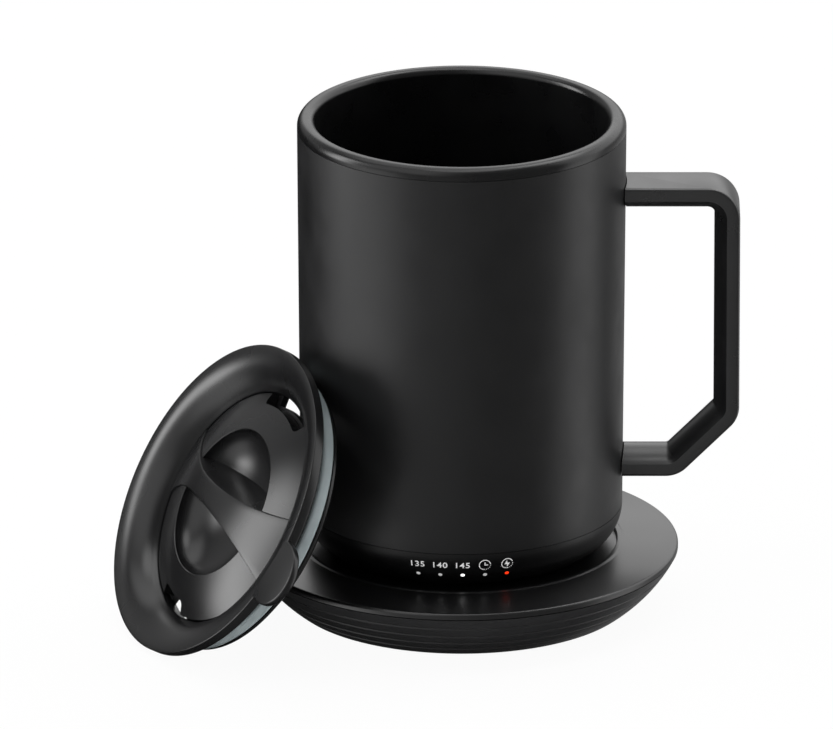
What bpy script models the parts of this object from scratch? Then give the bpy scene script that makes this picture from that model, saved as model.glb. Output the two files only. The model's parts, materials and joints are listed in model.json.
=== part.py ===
"""Self-heating mug on its charging coaster, with the twist-open lid taken off and leaned on the mug.

Metres, +Z up. The origin is the centre of the coaster's foot, on the surface that it stands on.
The indicator row faces -Y, the handle points to +X and the lid leans on the mug from the front left.
"""
import math

import bmesh
import bpy
from mathutils import Matrix, Vector

# Clearances and facets shared by every piece
GAP = 0.0003
OVERRUN = 0.002
WELD = 0.000001
LARGE_FACETS = 40
MEDIUM_FACETS = 24
SMALL_FACETS = 14
TINY_FACETS = 8

# Coaster: bowl-shaped lower shell with fine grooves round it
COASTER_RADIUS = 0.0596
COASTER_EDGE_HEIGHT = 0.0150
COASTER_BASE_RADIUS = 0.0472
COASTER_BASE_HEIGHT = 0.0006
COASTER_BOWL_ARC = 0.0416
COASTER_WALL = 0.0022
COASTER_FLOOR = 0.0017
COASTER_GROOVES = 4
COASTER_GROOVE_DEPTH = 0.00035
COASTER_GROOVE_WIDTH = 0.0008
FOOT_RADIUS = 0.0430
FOOT_THICKNESS = 0.0012

# Coaster: top cover with the ring that the mug stands inside
COVER_THICKNESS = 0.0020
COVER_EDGE_ROUND = 0.0016
COVER_CROWN = 0.0005
COVER_SKIRT_RADIUS = 0.0552
COVER_SKIRT_WIDTH = 0.0020
COVER_SKIRT_DEPTH = 0.0025
SEAT_FLOOR_HEIGHT = 0.0160
SEAT_RING_RADIUS = 0.0444
SEAT_RING_WIDTH = 0.0016
SEAT_RING_RISE = 0.0003

# Coaster: what it holds
SCREW_CIRCLE = 0.0360
SCREW_COUNT = 3
SCREW_HEAD_RADIUS = 0.0026
SCREW_HEAD_HEIGHT = 0.0016
SCREW_SHANK_RADIUS = 0.0013
SCREW_LENGTH = 0.0085
SCREW_BOSS_WALL = 0.0016
STANDOFF_CIRCLE = 0.0250
STANDOFF_RADIUS = 0.0024
STANDOFF_HEIGHT = 0.0015
COASTER_BOARD_RADIUS = 0.0290
BOARD_THICKNESS = 0.0016
BLOCK_RADIUS = 0.0130
BLOCK_FLANGE = 0.0020
JACK_HEIGHT = 0.0085
JACK_FACE = 0.0520
JACK_RADIUS = 0.0040
JACK_LENGTH = 0.0100
JACK_BORE_RADIUS = 0.00275
JACK_BORE_DEPTH = 0.0085
JACK_PIN_RADIUS = 0.0007
JACK_BODY_WIDTH = 0.0090
JACK_BODY_LENGTH = 0.0110

# Spring contacts in the coaster and the contacts that they touch under the mug
PIN_SHAFT_RADIUS = 0.0008
PIN_FLANGE_RADIUS = 0.00125
PIN_FLANGE_HEIGHT = 0.0010
PIN_STANDOUT = 0.0003
BARREL_WALL = 0.00045
BARREL_NECK = 0.0008
BARREL_FLOOR = 0.0010
SPRING_WIRE_RADIUS = 0.0002
SPRING_COIL_RADIUS = 0.0010
SPRING_TURNS = 4
SPRING_POINTS_PER_TURN = 8
CONTACT_DISC_RADIUS = 0.0030
CONTACT_RING_INNER = 0.0080
CONTACT_RING_OUTER = 0.0105
CONTACT_THICKNESS = 0.0010

# Mug: outer shell, liner with its rolled rim, and handle
MUG_FOOT_HEIGHT = 0.0163
MUG_HEIGHT = 0.1232
MUG_RADIUS = 0.0450
MUG_LOWER_RADIUS = 0.0442
SHELL_WALL = 0.0008
RIM_HEIGHT = 0.0033
RIM_OUTER_ROUND = 0.0024
RIM_INNER_ROUND = 0.0018
RIM_SPIGOT_DEPTH = 0.0022
RIM_SPIGOT_GAP = 0.0003
LINER_RADIUS = 0.0402
LINER_WALL = 0.0008
LINER_DEPTH = 0.0810
LINER_CORNER = 0.0080
HANDLE_WIDTH = 0.0150
HANDLE_DEPTH = 0.0070
HANDLE_SIDE = 0.0036
HANDLE_EDGE = 0.0009
HANDLE_REACH = 0.0761
HANDLE_TOP_HEIGHT = 0.1211
HANDLE_BOTTOM_HEIGHT = 0.0375
HANDLE_SLANT = 0.0168
HANDLE_TOP_ROUND = 0.0090
HANDLE_LOWER_ROUND = 0.0080

# Mug: base cap, bottom cover and what the base holds
CAP_ROUND = 0.0120
CAP_WALL = 0.0024
CAP_FLOOR = 0.0037
CAP_SPIGOT_HEIGHT = 0.0049
CAP_SPIGOT_WALL = 0.0026
CAP_SEAM = 0.0003
SEAL_HEIGHT = 0.0012
SEAL_DEPTH = 0.0009
COVER_PLATE_RADIUS = 0.0277
COVER_PLATE_THICKNESS = 0.0017
COVER_LEDGE_WIDTH = 0.0027
GRIP_RING_INNER = 0.0288
GRIP_RING_OUTER = 0.0312
GRIP_RING_HEIGHT = 0.0012
PLATE_SCREW_CIRCLE = 0.0210
PLATE_SCREW_HEAD_RADIUS = 0.0018
PLATE_SCREW_HEAD_HEIGHT = 0.0009
PLATE_SCREW_SHANK_RADIUS = 0.0009
PLATE_SCREW_LENGTH = 0.0060
BOARD_POST_RADIUS = 0.0022
BOARD_POST_INSET = 0.0132
BOARD_POST_HEIGHT = 0.0057
MUG_BOARD_INSET = 0.0082
BUTTON_RADIUS = 0.0042
BUTTON_FLANGE = 0.0012
BUTTON_FLANGE_HEIGHT = 0.0010
BUTTON_OFFSET = 0.0170
BUTTON_TRAVEL = 0.0005
SWITCH_WIDTH = 0.0060
CELL_RADIUS = 0.00915
CELL_LENGTH = 0.0650
CELL_CAP_RADIUS = 0.0030
CELL_CAP_HEIGHT = 0.0010
CELL_SPACING = 0.0193
TRAY_INSET = 0.0052
TRAY_FLOOR = 0.0012
TRAY_HEIGHT = 0.0080
TRAY_LEG_RADIUS = 0.0022
HEATER_INSET = 0.0092
HEATER_THICKNESS = 0.0005
SPREADER_INSET = 0.0072
SPREADER_THICKNESS = 0.0015
INSULATION_INSET = 0.0017
INSULATION_THICKNESS = 0.0030
SENSOR_RADIUS = 0.0015
SENSOR_LENGTH = 0.0022
SENSOR_OFFSET = 0.0120

# Mug: indicator row in the base cap
LENS_NAMES = ("indicator_lens_low", "indicator_lens_mid", "indicator_lens_high",
              "indicator_lens_timer", "indicator_lens_charge")
LENS_RADIUS = 0.00055
LENS_HEIGHT = 0.0216
LENS_STEP = math.radians(8.33)
LENS_ROW_TURN = math.radians(0.35)
LENS_FIT = 0.0002
LENS_BACKSET = 0.0012
LED_BOARD_THICKNESS = 0.0010
LED_BOARD_HALF_HEIGHT = 0.0020
LED_BOARD_MARGIN = math.radians(5)

# Lid: its own frame has the face plane at zero, the face normal as +Z and the thumb tab near +X
LID_RADIUS = 0.0448
LID_BAND = 0.0030
LID_EDGE = 0.0002
LID_ROLL_ARC = 0.0115
LID_ROLL_INSET = 0.0008
LID_ROLL_END = math.radians(60)
LID_WELL_RADIUS = 0.0334
LID_FLOOR_DEPTH = 0.0091
LID_FLOOR = 0.0019
LID_PLUG_RADIUS = 0.0400
LID_PLUG_DEPTH = 0.0134
LID_LIP_RADIUS = 0.0370
LID_LIP_HEIGHT = 0.0022
LID_SKIRT_INNER = 0.0360
LID_TAB_RADIUS = 0.0092
LID_TAB_OFFSET = 0.0012
LID_TAB_OVERLAP = 0.0018
LID_TAB_RISE = 0.0002
LID_TAB_THICKNESS = 0.0020
LID_TAB_EDGE = 0.0004
LID_TURN = math.radians(-8.5)
GASKET_TOP = 0.0064
GASKET_HEIGHT = 0.0037
GASKET_STANDOUT = 0.0005
GASKET_DEPTH = 0.0017
GASKET_EDGE = 0.0005
PORT_WIDTH = 0.0029
PORT_UNDERCUT = 0.0006
PORT_HALF_ANGLE = math.radians(20)
VENT_HALF_ANGLE = math.radians(10)

# Lid: rotor with two finger bowls and the waisted grip between them
ROTOR_CLEARANCE = 0.0004
ROTOR_EDGE = 0.0022
ROTOR_CROWN_DEPTH = 0.0002
ROTOR_EDGE_DEPTH = 0.0066
ROTOR_TURN = math.radians(-5.5)
NOTCH_DEPTH = 0.0035
NOTCH_CORNER = 0.0015
NOTCH_HALF_ANGLE = math.radians(20.5)
VENT_NOTCH_HALF_ANGLE = math.radians(11.5)
VENT_NOTCH_TURN = math.radians(-4.5)
BOWL_BRIM = 0.0116
BOWL_LIP = 0.0002
BOWL_DEPTH = 0.0120
ROTOR_BOTTOM_DEPTH = 0.0132
HUB_WALL = 0.0008
HUB_GROOVE_DEPTH = 0.0010
GRIP_RISE = 0.0006
GRIP_WAIST = 0.0031
GRIP_WAIST_SHARE = -0.3
GRIP_END = 0.0099
GRIP_FLARE_POWER = 2.2
GRIP_DRAFT_SHARE = 0.4
GRIP_INSET = 0.00005
RETAINER_WIDTH = 0.0040
RETAINER_THICKNESS = 0.0010
RETAINER_SWEEP = math.radians(330)
ROTOR_SEAL_OFFSET = 0.0030
ROTOR_SEAL_WIDTH = 0.0012
ROTOR_SEAL_HEIGHT = 0.0009

# Lid: how it leans on the mug
LEAN = math.radians(60)
LEAN_AZIMUTH = math.radians(205.4)

# Places worked out from the sizes above
FOOT_POCKET = FOOT_THICKNESS + GAP
COASTER_INSIDE = FOOT_POCKET + COASTER_FLOOR
COASTER_SEAM = COASTER_EDGE_HEIGHT - GAP
COVER_UNDERSIDE = SEAT_FLOOR_HEIGHT - COVER_THICKNESS
COASTER_BOARD_LOW = COASTER_INSIDE + STANDOFF_HEIGHT + GAP
COASTER_BOARD_HIGH = COASTER_BOARD_LOW + BOARD_THICKNESS
BLOCK_LOW = COASTER_BOARD_HIGH + GAP
SCREW_SEAT = FOOT_POCKET + SCREW_HEAD_HEIGHT + 2 * GAP
SCREW_BOSS_TOP = SCREW_SEAT + SCREW_BOSS_WALL
PIN_TIP = SEAT_FLOOR_HEIGHT + PIN_STANDOUT
BARREL_TOP = SEAT_FLOOR_HEIGHT - GAP
BARREL_BORE = PIN_FLANGE_RADIUS + GAP
BARREL_RADIUS = BARREL_BORE + BARREL_WALL
CONTACT_RING_MIDDLE = (CONTACT_RING_INNER + CONTACT_RING_OUTER) / 2
MUG_TOP = MUG_FOOT_HEIGHT + MUG_HEIGHT
MUG_SEAM = MUG_TOP - RIM_HEIGHT
CAP_TOP = MUG_FOOT_HEIGHT + CAP_ROUND
SHELL_BOTTOM = CAP_TOP + CAP_SEAM
CAP_ARC_CENTRE = MUG_LOWER_RADIUS - CAP_ROUND
CAP_INSIDE = MUG_FOOT_HEIGHT + CAP_FLOOR
LINER_INSIDE = MUG_TOP - LINER_DEPTH
LINER_BOTTOM = LINER_INSIDE - LINER_WALL
HEATER_LOW = LINER_BOTTOM - GAP - HEATER_THICKNESS
SPREADER_LOW = HEATER_LOW - GAP - SPREADER_THICKNESS
INSULATION_LOW = SPREADER_LOW - GAP - INSULATION_THICKNESS
CELL_HEIGHT = INSULATION_LOW - GAP - CELL_RADIUS
MUG_BOARD_LOW = CAP_INSIDE + BOARD_POST_HEIGHT + GAP
MUG_BOARD_HIGH = MUG_BOARD_LOW + BOARD_THICKNESS
TRAY_LOW = CELL_HEIGHT - CELL_RADIUS - GAP - TRAY_FLOOR
BOARD_POST_CIRCLE = MUG_LOWER_RADIUS - BOARD_POST_INSET
COVER_PLATE_HIGH = MUG_FOOT_HEIGHT + COVER_PLATE_THICKNESS
CONTACT_FACE = MUG_FOOT_HEIGHT + GAP
LID_TAB_CENTRE = LID_RADIUS + LID_TAB_OFFSET
LID_TAB_INNER = LID_RADIUS - LID_TAB_OVERLAP
PORT_INNER = LID_WELL_RADIUS - PORT_WIDTH
PORT_OUTER = LID_WELL_RADIUS + PORT_UNDERCUT
ROTOR_RADIUS = LID_WELL_RADIUS - ROTOR_CLEARANCE
ROTOR_PLATE_LOW = ROTOR_EDGE_DEPTH + ROTOR_EDGE
NOTCH_INNER = ROTOR_RADIUS - NOTCH_DEPTH
BOWL_RADIUS = ROTOR_RADIUS - BOWL_BRIM
HUB_RADIUS = BOWL_RADIUS + HUB_WALL
ROTOR_SEAL_INNER = HUB_RADIUS + ROTOR_SEAL_OFFSET


def shell_radius(height):
    """Outer radius of the tapered mug shell at a height."""
    share = (height - SHELL_BOTTOM) / (MUG_SEAM - SHELL_BOTTOM)
    return MUG_LOWER_RADIUS + (MUG_RADIUS - MUG_LOWER_RADIUS) * share


LID_HEIGHT = LID_RADIUS * math.sin(LEAN) + LID_BAND * math.cos(LEAN)
LID_TOUCH_HEIGHT = LID_HEIGHT + LID_LIP_RADIUS * math.sin(LEAN) - LID_PLUG_DEPTH * math.cos(LEAN)
LID_DISTANCE = (shell_radius(LID_TOUCH_HEIGHT) + GAP + LID_LIP_RADIUS * math.cos(LEAN)
                + LID_PLUG_DEPTH * math.sin(LEAN))


def clear_scene():
    """Start from an empty scene."""
    for item in list(bpy.data.objects):
        bpy.data.objects.remove(item, do_unlink=True)


def make_material(name, colour, roughness, metallic=0.0):
    """Principled material with one colour."""
    made = bpy.data.materials.new(name)
    made.use_nodes = True
    shader = made.node_tree.nodes["Principled BSDF"]
    shader.inputs["Base Color"].default_value = (*colour, 1.0)
    shader.inputs["Roughness"].default_value = roughness
    shader.inputs["Metallic"].default_value = metallic
    return made


def arc(centre, radius, start, end, steps):
    """Points on an arc, from the start angle to the end angle."""
    return [on_arc(centre, radius, start + (end - start) * i / steps) for i in range(steps + 1)]


def on_arc(centre, radius, angle):
    """One point on an arc."""
    return (centre[0] + radius * math.cos(angle), centre[1] + radius * math.sin(angle))


def on_circle(radius, count, first=0.0):
    """Places evenly spaced round the vertical axis."""
    turns = [first + 2 * math.pi * i / count for i in range(count)]
    return [(radius * math.cos(a), radius * math.sin(a)) for a in turns]


def add_turned(bm, profile, facets, place=Matrix.Identity(4), sweep=2 * math.pi):
    """Spin a profile of (radius, height) points round the axis of place."""
    start = len(bm.verts)
    ring = [bm.verts.new((r, 0, z)) for r, z in profile]
    axis_ends = profile[0][0] < WELD and profile[-1][0] < WELD
    whole = abs(sweep - 2 * math.pi) < WELD
    if whole:
        geometry = [bm.edges.new(pair) for pair in zip(ring, ring[1:])]
        if not axis_ends:
            geometry.append(bm.edges.new((ring[-1], ring[0])))
    else:
        geometry = [bm.faces.new(ring)]
    bmesh.ops.spin(bm, geom=ring + geometry, cent=(0, 0, 0), axis=(0, 0, 1),
                   angle=sweep, steps=facets, use_merge=whole)
    bm.verts.ensure_lookup_table()
    made = bm.verts[start:]
    bmesh.ops.transform(bm, matrix=place, verts=made)


def add_prism(bm, outline, low, high, place=Matrix.Identity(4)):
    """Extrude an outline of (x, y) points between two heights."""
    rings = [[place @ Vector((x, y, z)) for x, y in outline] for z in (low, high)]
    add_loft(bm, rings)


def add_loft(bm, rings):
    """Skin a row of closed rings and cap both ends."""
    loops = [[bm.verts.new(point) for point in ring] for ring in rings]
    count = len(rings[0])
    for here, there in zip(loops, loops[1:]):
        for i in range(count):
            j = (i + 1) % count
            bm.faces.new((here[i], here[j], there[j], there[i]))
    bm.faces.new(list(reversed(loops[0])))
    bm.faces.new(loops[-1])


def add_cylinder(bm, radius, low, high, place=Matrix.Identity(4), facets=SMALL_FACETS):
    """Plain cylinder between two heights on the axis of place."""
    add_turned(bm, [(0, low), (radius, low), (radius, high), (0, high)], facets, place)


def at(x, y, z=0.0):
    """Upright placement at a point."""
    return Matrix.Translation((x, y, z))


def finish(name, bm, material=None, parent=None, location=(0, 0, 0), rotation=(0, 0, 0)):
    """Turn the working mesh into an object whose faces point outwards."""
    bmesh.ops.remove_doubles(bm, verts=bm.verts, dist=WELD)
    bmesh.ops.recalc_face_normals(bm, faces=bm.faces)
    mesh = bpy.data.meshes.new(name)
    bm.to_mesh(mesh)
    bm.free()
    made = bpy.data.objects.new(name, mesh)
    bpy.context.scene.collection.objects.link(made)
    made.parent = parent
    made.location = location
    made.rotation_euler = rotation
    if material:
        mesh.materials.append(material)
        mesh.shade_smooth()
        mesh.set_sharp_from_angle(angle=math.radians(35))
    return made


def turned(name, profile, facets, material, parent=None, location=(0, 0, 0), rotation=(0, 0, 0)):
    """Object made by spinning one profile."""
    bm = bmesh.new()
    add_turned(bm, profile, facets)
    return finish(name, bm, material, parent, location, rotation)


def combine(target, tool_name, bm, operation, parent=None):
    """Cut the target with the working mesh, fuse the two, or keep what they share."""
    tool = finish(tool_name, bm, parent=parent)
    tool.hide_render = True
    tool.display_type = 'WIRE'
    step = target.modifiers.new(tool_name, 'BOOLEAN')
    step.operation = operation
    step.solver = 'EXACT'
    step.object = tool
    return tool


def make_frame(name, location=(0, 0, 0), rotation=(0, 0, 0), parent=None):
    """Empty that carries the pieces of one moving body."""
    empty = bpy.data.objects.new(name, None)
    bpy.context.scene.collection.objects.link(empty)
    empty.parent = parent
    empty.location = location
    empty.rotation_euler = rotation
    return empty


def bowl_arc():
    """Centre of the coaster's side arc, which passes through its base edge and its widest edge."""
    low = Vector((COASTER_BASE_RADIUS, COASTER_BASE_HEIGHT))
    high = Vector((COASTER_RADIUS, COASTER_EDGE_HEIGHT))
    chord = high - low
    across = Vector((-chord.y, chord.x)).normalized()
    reach = math.sqrt(COASTER_BOWL_ARC ** 2 - (chord.length / 2) ** 2)
    return (low + high) / 2 + across * reach


def bowl_angle(centre, radius, height):
    """Angle at which an arc about the bowl's centre reaches a height."""
    return math.asin((height - centre.y) / radius)


def make_coaster_shell(material):
    """Lower shell: grooved bowl, foot pocket, standoffs, screw bosses and the inlet's hole."""
    centre = bowl_arc()
    start = bowl_angle(centre, COASTER_BOWL_ARC, COASTER_BASE_HEIGHT)
    widest = bowl_angle(centre, COASTER_BOWL_ARC, COASTER_EDGE_HEIGHT)
    end = bowl_angle(centre, COASTER_BOWL_ARC, COASTER_SEAM)
    profile = [(0, FOOT_POCKET), (FOOT_RADIUS + GAP, FOOT_POCKET), (FOOT_RADIUS + GAP, COASTER_BASE_HEIGHT)]
    profile.append(on_arc(centre, COASTER_BOWL_ARC, start))
    half = COASTER_GROOVE_WIDTH / 2 / COASTER_BOWL_ARC
    for i in range(COASTER_GROOVES):
        angle = start + (widest - start) * (i + 1) / (COASTER_GROOVES + 1)
        profile += [on_arc(centre, COASTER_BOWL_ARC, angle - half),
                    on_arc(centre, COASTER_BOWL_ARC - COASTER_GROOVE_DEPTH, angle),
                    on_arc(centre, COASTER_BOWL_ARC, angle + half)]
    profile.append(on_arc(centre, COASTER_BOWL_ARC, end))
    inner = COASTER_BOWL_ARC - COASTER_WALL
    inner_high = bowl_angle(centre, inner, COASTER_SEAM)
    inner_low = bowl_angle(centre, inner, COASTER_INSIDE)
    profile += arc(centre, inner, inner_high, inner_low, 2)
    profile.append((0, COASTER_INSIDE))
    shell = turned("coaster_bottom_shell", profile, LARGE_FACETS, material)

    posts = bmesh.new()
    for x, y in on_circle(STANDOFF_CIRCLE, SCREW_COUNT, math.radians(30)):
        add_cylinder(posts, STANDOFF_RADIUS, COASTER_INSIDE - GAP, COASTER_INSIDE + STANDOFF_HEIGHT,
                     at(x, y), TINY_FACETS)
    for x, y in on_circle(SCREW_CIRCLE, SCREW_COUNT, math.radians(30)):
        add_cylinder(posts, SCREW_HEAD_RADIUS + GAP + SCREW_BOSS_WALL, COASTER_INSIDE - GAP, SCREW_BOSS_TOP,
                     at(x, y))
    combine(shell, "coaster_posts", posts, 'UNION')

    holes = bmesh.new()
    for x, y in on_circle(SCREW_CIRCLE, SCREW_COUNT, math.radians(30)):
        head = SCREW_HEAD_RADIUS + GAP
        shank = SCREW_SHANK_RADIUS + GAP
        add_turned(holes, [(0, FOOT_POCKET - OVERRUN), (head, FOOT_POCKET - OVERRUN), (head, SCREW_SEAT),
                           (shank, SCREW_SEAT), (shank, SCREW_BOSS_TOP + OVERRUN), (0, SCREW_BOSS_TOP + OVERRUN)],
                   TINY_FACETS, at(x, y))
    along_y = at(0, 0, JACK_HEIGHT) @ Matrix.Rotation(-math.pi / 2, 4, 'X')
    add_cylinder(holes, JACK_RADIUS + GAP, JACK_FACE - JACK_LENGTH, COASTER_RADIUS + OVERRUN, along_y)
    combine(shell, "coaster_shell_holes", holes, 'DIFFERENCE')


def make_coaster_cover(material):
    """Top cover: rounded edge, crowned top, raised seat ring, skirt and hollow screw posts."""
    rim_top = COASTER_EDGE_HEIGHT + COVER_EDGE_ROUND
    ring_top = rim_top + COVER_CROWN + SEAT_RING_RISE
    seat_radius = SEAT_RING_RADIUS - SEAT_RING_WIDTH
    soften = SEAT_RING_RISE
    hole = BLOCK_RADIUS + GAP
    profile = arc((COASTER_RADIUS - COVER_EDGE_ROUND, COASTER_EDGE_HEIGHT), COVER_EDGE_ROUND,
                  0, math.pi / 2, 3)
    profile += [(SEAT_RING_RADIUS + soften, rim_top + COVER_CROWN), (SEAT_RING_RADIUS, ring_top),
                (seat_radius + soften, ring_top), (seat_radius, ring_top - soften),
                (seat_radius, SEAT_FLOOR_HEIGHT), (hole, SEAT_FLOOR_HEIGHT), (hole, COVER_UNDERSIDE),
                (seat_radius, COVER_UNDERSIDE)]
    skirt_low = COASTER_EDGE_HEIGHT - COVER_SKIRT_DEPTH
    skirt_inner = COVER_SKIRT_RADIUS - COVER_SKIRT_WIDTH
    profile += [(seat_radius + COVER_THICKNESS, COASTER_EDGE_HEIGHT), (skirt_inner, COASTER_EDGE_HEIGHT),
                (skirt_inner, skirt_low), (COVER_SKIRT_RADIUS, skirt_low),
                (COVER_SKIRT_RADIUS, COASTER_EDGE_HEIGHT)]
    cover = turned("coaster_top_cover", profile, LARGE_FACETS, material)

    boss_low = SCREW_BOSS_TOP + GAP
    bore = SCREW_SHANK_RADIUS + GAP
    posts = bmesh.new()
    bores = bmesh.new()
    for x, y in on_circle(SCREW_CIRCLE, SCREW_COUNT, math.radians(30)):
        add_cylinder(posts, bore + SCREW_BOSS_WALL, boss_low, COVER_UNDERSIDE + GAP, at(x, y), TINY_FACETS)
        add_cylinder(bores, bore, boss_low - OVERRUN, FOOT_POCKET + SCREW_LENGTH + 3 * GAP, at(x, y), TINY_FACETS)
    combine(cover, "coaster_cover_posts", posts, 'UNION')
    combine(cover, "coaster_cover_bores", bores, 'DIFFERENCE')


def make_foot_pad(material):
    """Rubber disc that the coaster stands on."""
    edge = FOOT_THICKNESS / 4
    turned("coaster_foot_pad", [(0, 0), (FOOT_RADIUS - edge, 0), (FOOT_RADIUS, edge),
                                (FOOT_RADIUS, FOOT_THICKNESS), (0, FOOT_THICKNESS)], LARGE_FACETS, material)


def make_coaster_screws(material):
    """Three screws that hold the shell to the cover, hidden by the foot pad."""
    low = FOOT_POCKET + GAP
    shoulder = low + SCREW_HEAD_HEIGHT
    profile = [(0, low), (SCREW_HEAD_RADIUS, low), (SCREW_HEAD_RADIUS, shoulder),
               (SCREW_SHANK_RADIUS, shoulder), (SCREW_SHANK_RADIUS, low + SCREW_LENGTH), (0, low + SCREW_LENGTH)]
    for i, (x, y) in enumerate(on_circle(SCREW_CIRCLE, SCREW_COUNT, math.radians(30))):
        turned(f"coaster_screw_{i + 1}", profile, TINY_FACETS, material, location=(x, y, 0))


def make_contact_block(material):
    """Insulating block in the middle of the cover, with a bore for each spring contact."""
    flange = BLOCK_RADIUS + BLOCK_FLANGE
    shoulder = COVER_UNDERSIDE - GAP
    block = turned("contact_block", [(0, BLOCK_LOW), (flange, BLOCK_LOW), (flange, shoulder),
                                     (BLOCK_RADIUS, shoulder), (BLOCK_RADIUS, SEAT_FLOOR_HEIGHT),
                                     (0, SEAT_FLOOR_HEIGHT)], MEDIUM_FACETS, material)
    bores = bmesh.new()
    for x in (0, CONTACT_RING_MIDDLE):
        add_cylinder(bores, BARREL_RADIUS + GAP, BLOCK_LOW - OVERRUN, SEAT_FLOOR_HEIGHT + OVERRUN, at(x, 0))
    combine(block, "contact_block_bores", bores, 'DIFFERENCE')


def make_spring_contact(place_name, x, barrel_material, pin_material, spring_material):
    """Barrel, plunger and coil spring of one contact."""
    bore_low = BLOCK_LOW + BARREL_FLOOR
    neck_low = BARREL_TOP - BARREL_NECK
    neck = PIN_SHAFT_RADIUS + GAP
    turned(f"pin_barrel_{place_name}",
           [(0, BLOCK_LOW), (BARREL_RADIUS, BLOCK_LOW), (BARREL_RADIUS, BARREL_TOP), (neck, BARREL_TOP),
            (neck, neck_low), (BARREL_BORE, neck_low), (BARREL_BORE, bore_low), (0, bore_low)],
           SMALL_FACETS, barrel_material, location=(x, 0, 0))

    flange_high = neck_low - GAP
    flange_low = flange_high - PIN_FLANGE_HEIGHT
    profile = [(0, flange_low), (PIN_FLANGE_RADIUS, flange_low), (PIN_FLANGE_RADIUS, flange_high),
               (PIN_SHAFT_RADIUS, flange_high)]
    profile += arc((0, PIN_TIP - PIN_SHAFT_RADIUS), PIN_SHAFT_RADIUS, 0, math.pi / 2, 3)[:-1]
    profile.append((0, PIN_TIP))
    turned(f"contact_pin_{place_name}", profile, TINY_FACETS, pin_material, location=(x, 0, 0))

    low = bore_low + GAP + SPRING_WIRE_RADIUS
    high = flange_low - GAP - SPRING_WIRE_RADIUS
    curve = bpy.data.curves.new(f"pin_spring_{place_name}", 'CURVE')
    curve.dimensions = '3D'
    curve.bevel_depth = SPRING_WIRE_RADIUS
    curve.bevel_resolution = 1
    curve.use_fill_caps = True
    count = SPRING_TURNS * SPRING_POINTS_PER_TURN
    path = curve.splines.new('POLY')
    path.points.add(count)
    places = []
    for i in range(count + 1):
        turn = 2 * math.pi * i / SPRING_POINTS_PER_TURN
        height = low + (high - low) * i / count
        places.append(Vector((SPRING_COIL_RADIUS * math.cos(turn), SPRING_COIL_RADIUS * math.sin(turn), height)))
        path.points[i].co = (*places[-1], 1)
    curve.materials.append(spring_material)
    spring = bpy.data.objects.new(f"pin_spring_{place_name}", curve)
    spring.location = (x, 0, 0)
    bpy.context.scene.collection.objects.link(spring)
    half_turn = SPRING_POINTS_PER_TURN // 2
    nearest = min((there - here).length for i, here in enumerate(places) for there in places[i + half_turn:])
    print(f"pin_spring_{place_name} least gap to itself", round(nearest - 2 * SPRING_WIRE_RADIUS, 6))


def make_coaster_board(material):
    """Round circuit board on the shell's standoffs."""
    turned("coaster_circuit_board", [(0, COASTER_BOARD_LOW), (COASTER_BOARD_RADIUS, COASTER_BOARD_LOW),
                                     (COASTER_BOARD_RADIUS, COASTER_BOARD_HIGH), (0, COASTER_BOARD_HIGH)],
           MEDIUM_FACETS, material)


def make_power_inlet(material):
    """Round power socket at the back, with its centre pin and the block behind it."""
    rear = JACK_FACE - JACK_LENGTH
    bottom = JACK_FACE - JACK_BORE_DEPTH
    inlet = turned("power_inlet", [(0, rear), (JACK_RADIUS, rear), (JACK_RADIUS, JACK_FACE),
                                   (JACK_BORE_RADIUS, JACK_FACE), (JACK_BORE_RADIUS, bottom),
                                   (JACK_PIN_RADIUS, bottom), (JACK_PIN_RADIUS, JACK_FACE - OVERRUN),
                                   (0, JACK_FACE - OVERRUN)], SMALL_FACETS, material,
                   location=(0, 0, JACK_HEIGHT), rotation=(-math.pi / 2, 0, 0))
    half = JACK_BODY_WIDTH / 2
    low = COASTER_INSIDE + GAP
    high = 2 * JACK_HEIGHT - low
    body = bmesh.new()
    front = bottom - GAP
    back = front - JACK_BODY_LENGTH
    add_prism(body, [(-half, back), (half, back), (half, front), (-half, front)], low, high)
    combine(inlet, "power_inlet_body", body, 'UNION')


def make_coaster(finishes):
    """Everything that stays on the table."""
    make_coaster_shell(finishes["coaster plastic"])
    make_coaster_cover(finishes["coaster top"])
    make_foot_pad(finishes["rubber"])
    make_coaster_screws(finishes["steel"])
    make_contact_block(finishes["inner plastic"])
    for name, x in (("center", 0), ("side", CONTACT_RING_MIDDLE)):
        make_spring_contact(name, x, finishes["brass"], finishes["gold plate"], finishes["steel"])
    make_coaster_board(finishes["circuit board"])
    make_power_inlet(finishes["inner plastic"])


def make_outer_shell(material, parent):
    """Tapered metal shell, open at both ends."""
    turned("mug_outer_shell",
           [(MUG_LOWER_RADIUS, SHELL_BOTTOM), (MUG_RADIUS, MUG_SEAM), (MUG_RADIUS - SHELL_WALL, MUG_SEAM),
            (MUG_LOWER_RADIUS - SHELL_WALL, SHELL_BOTTOM)], LARGE_FACETS, material, parent)


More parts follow.
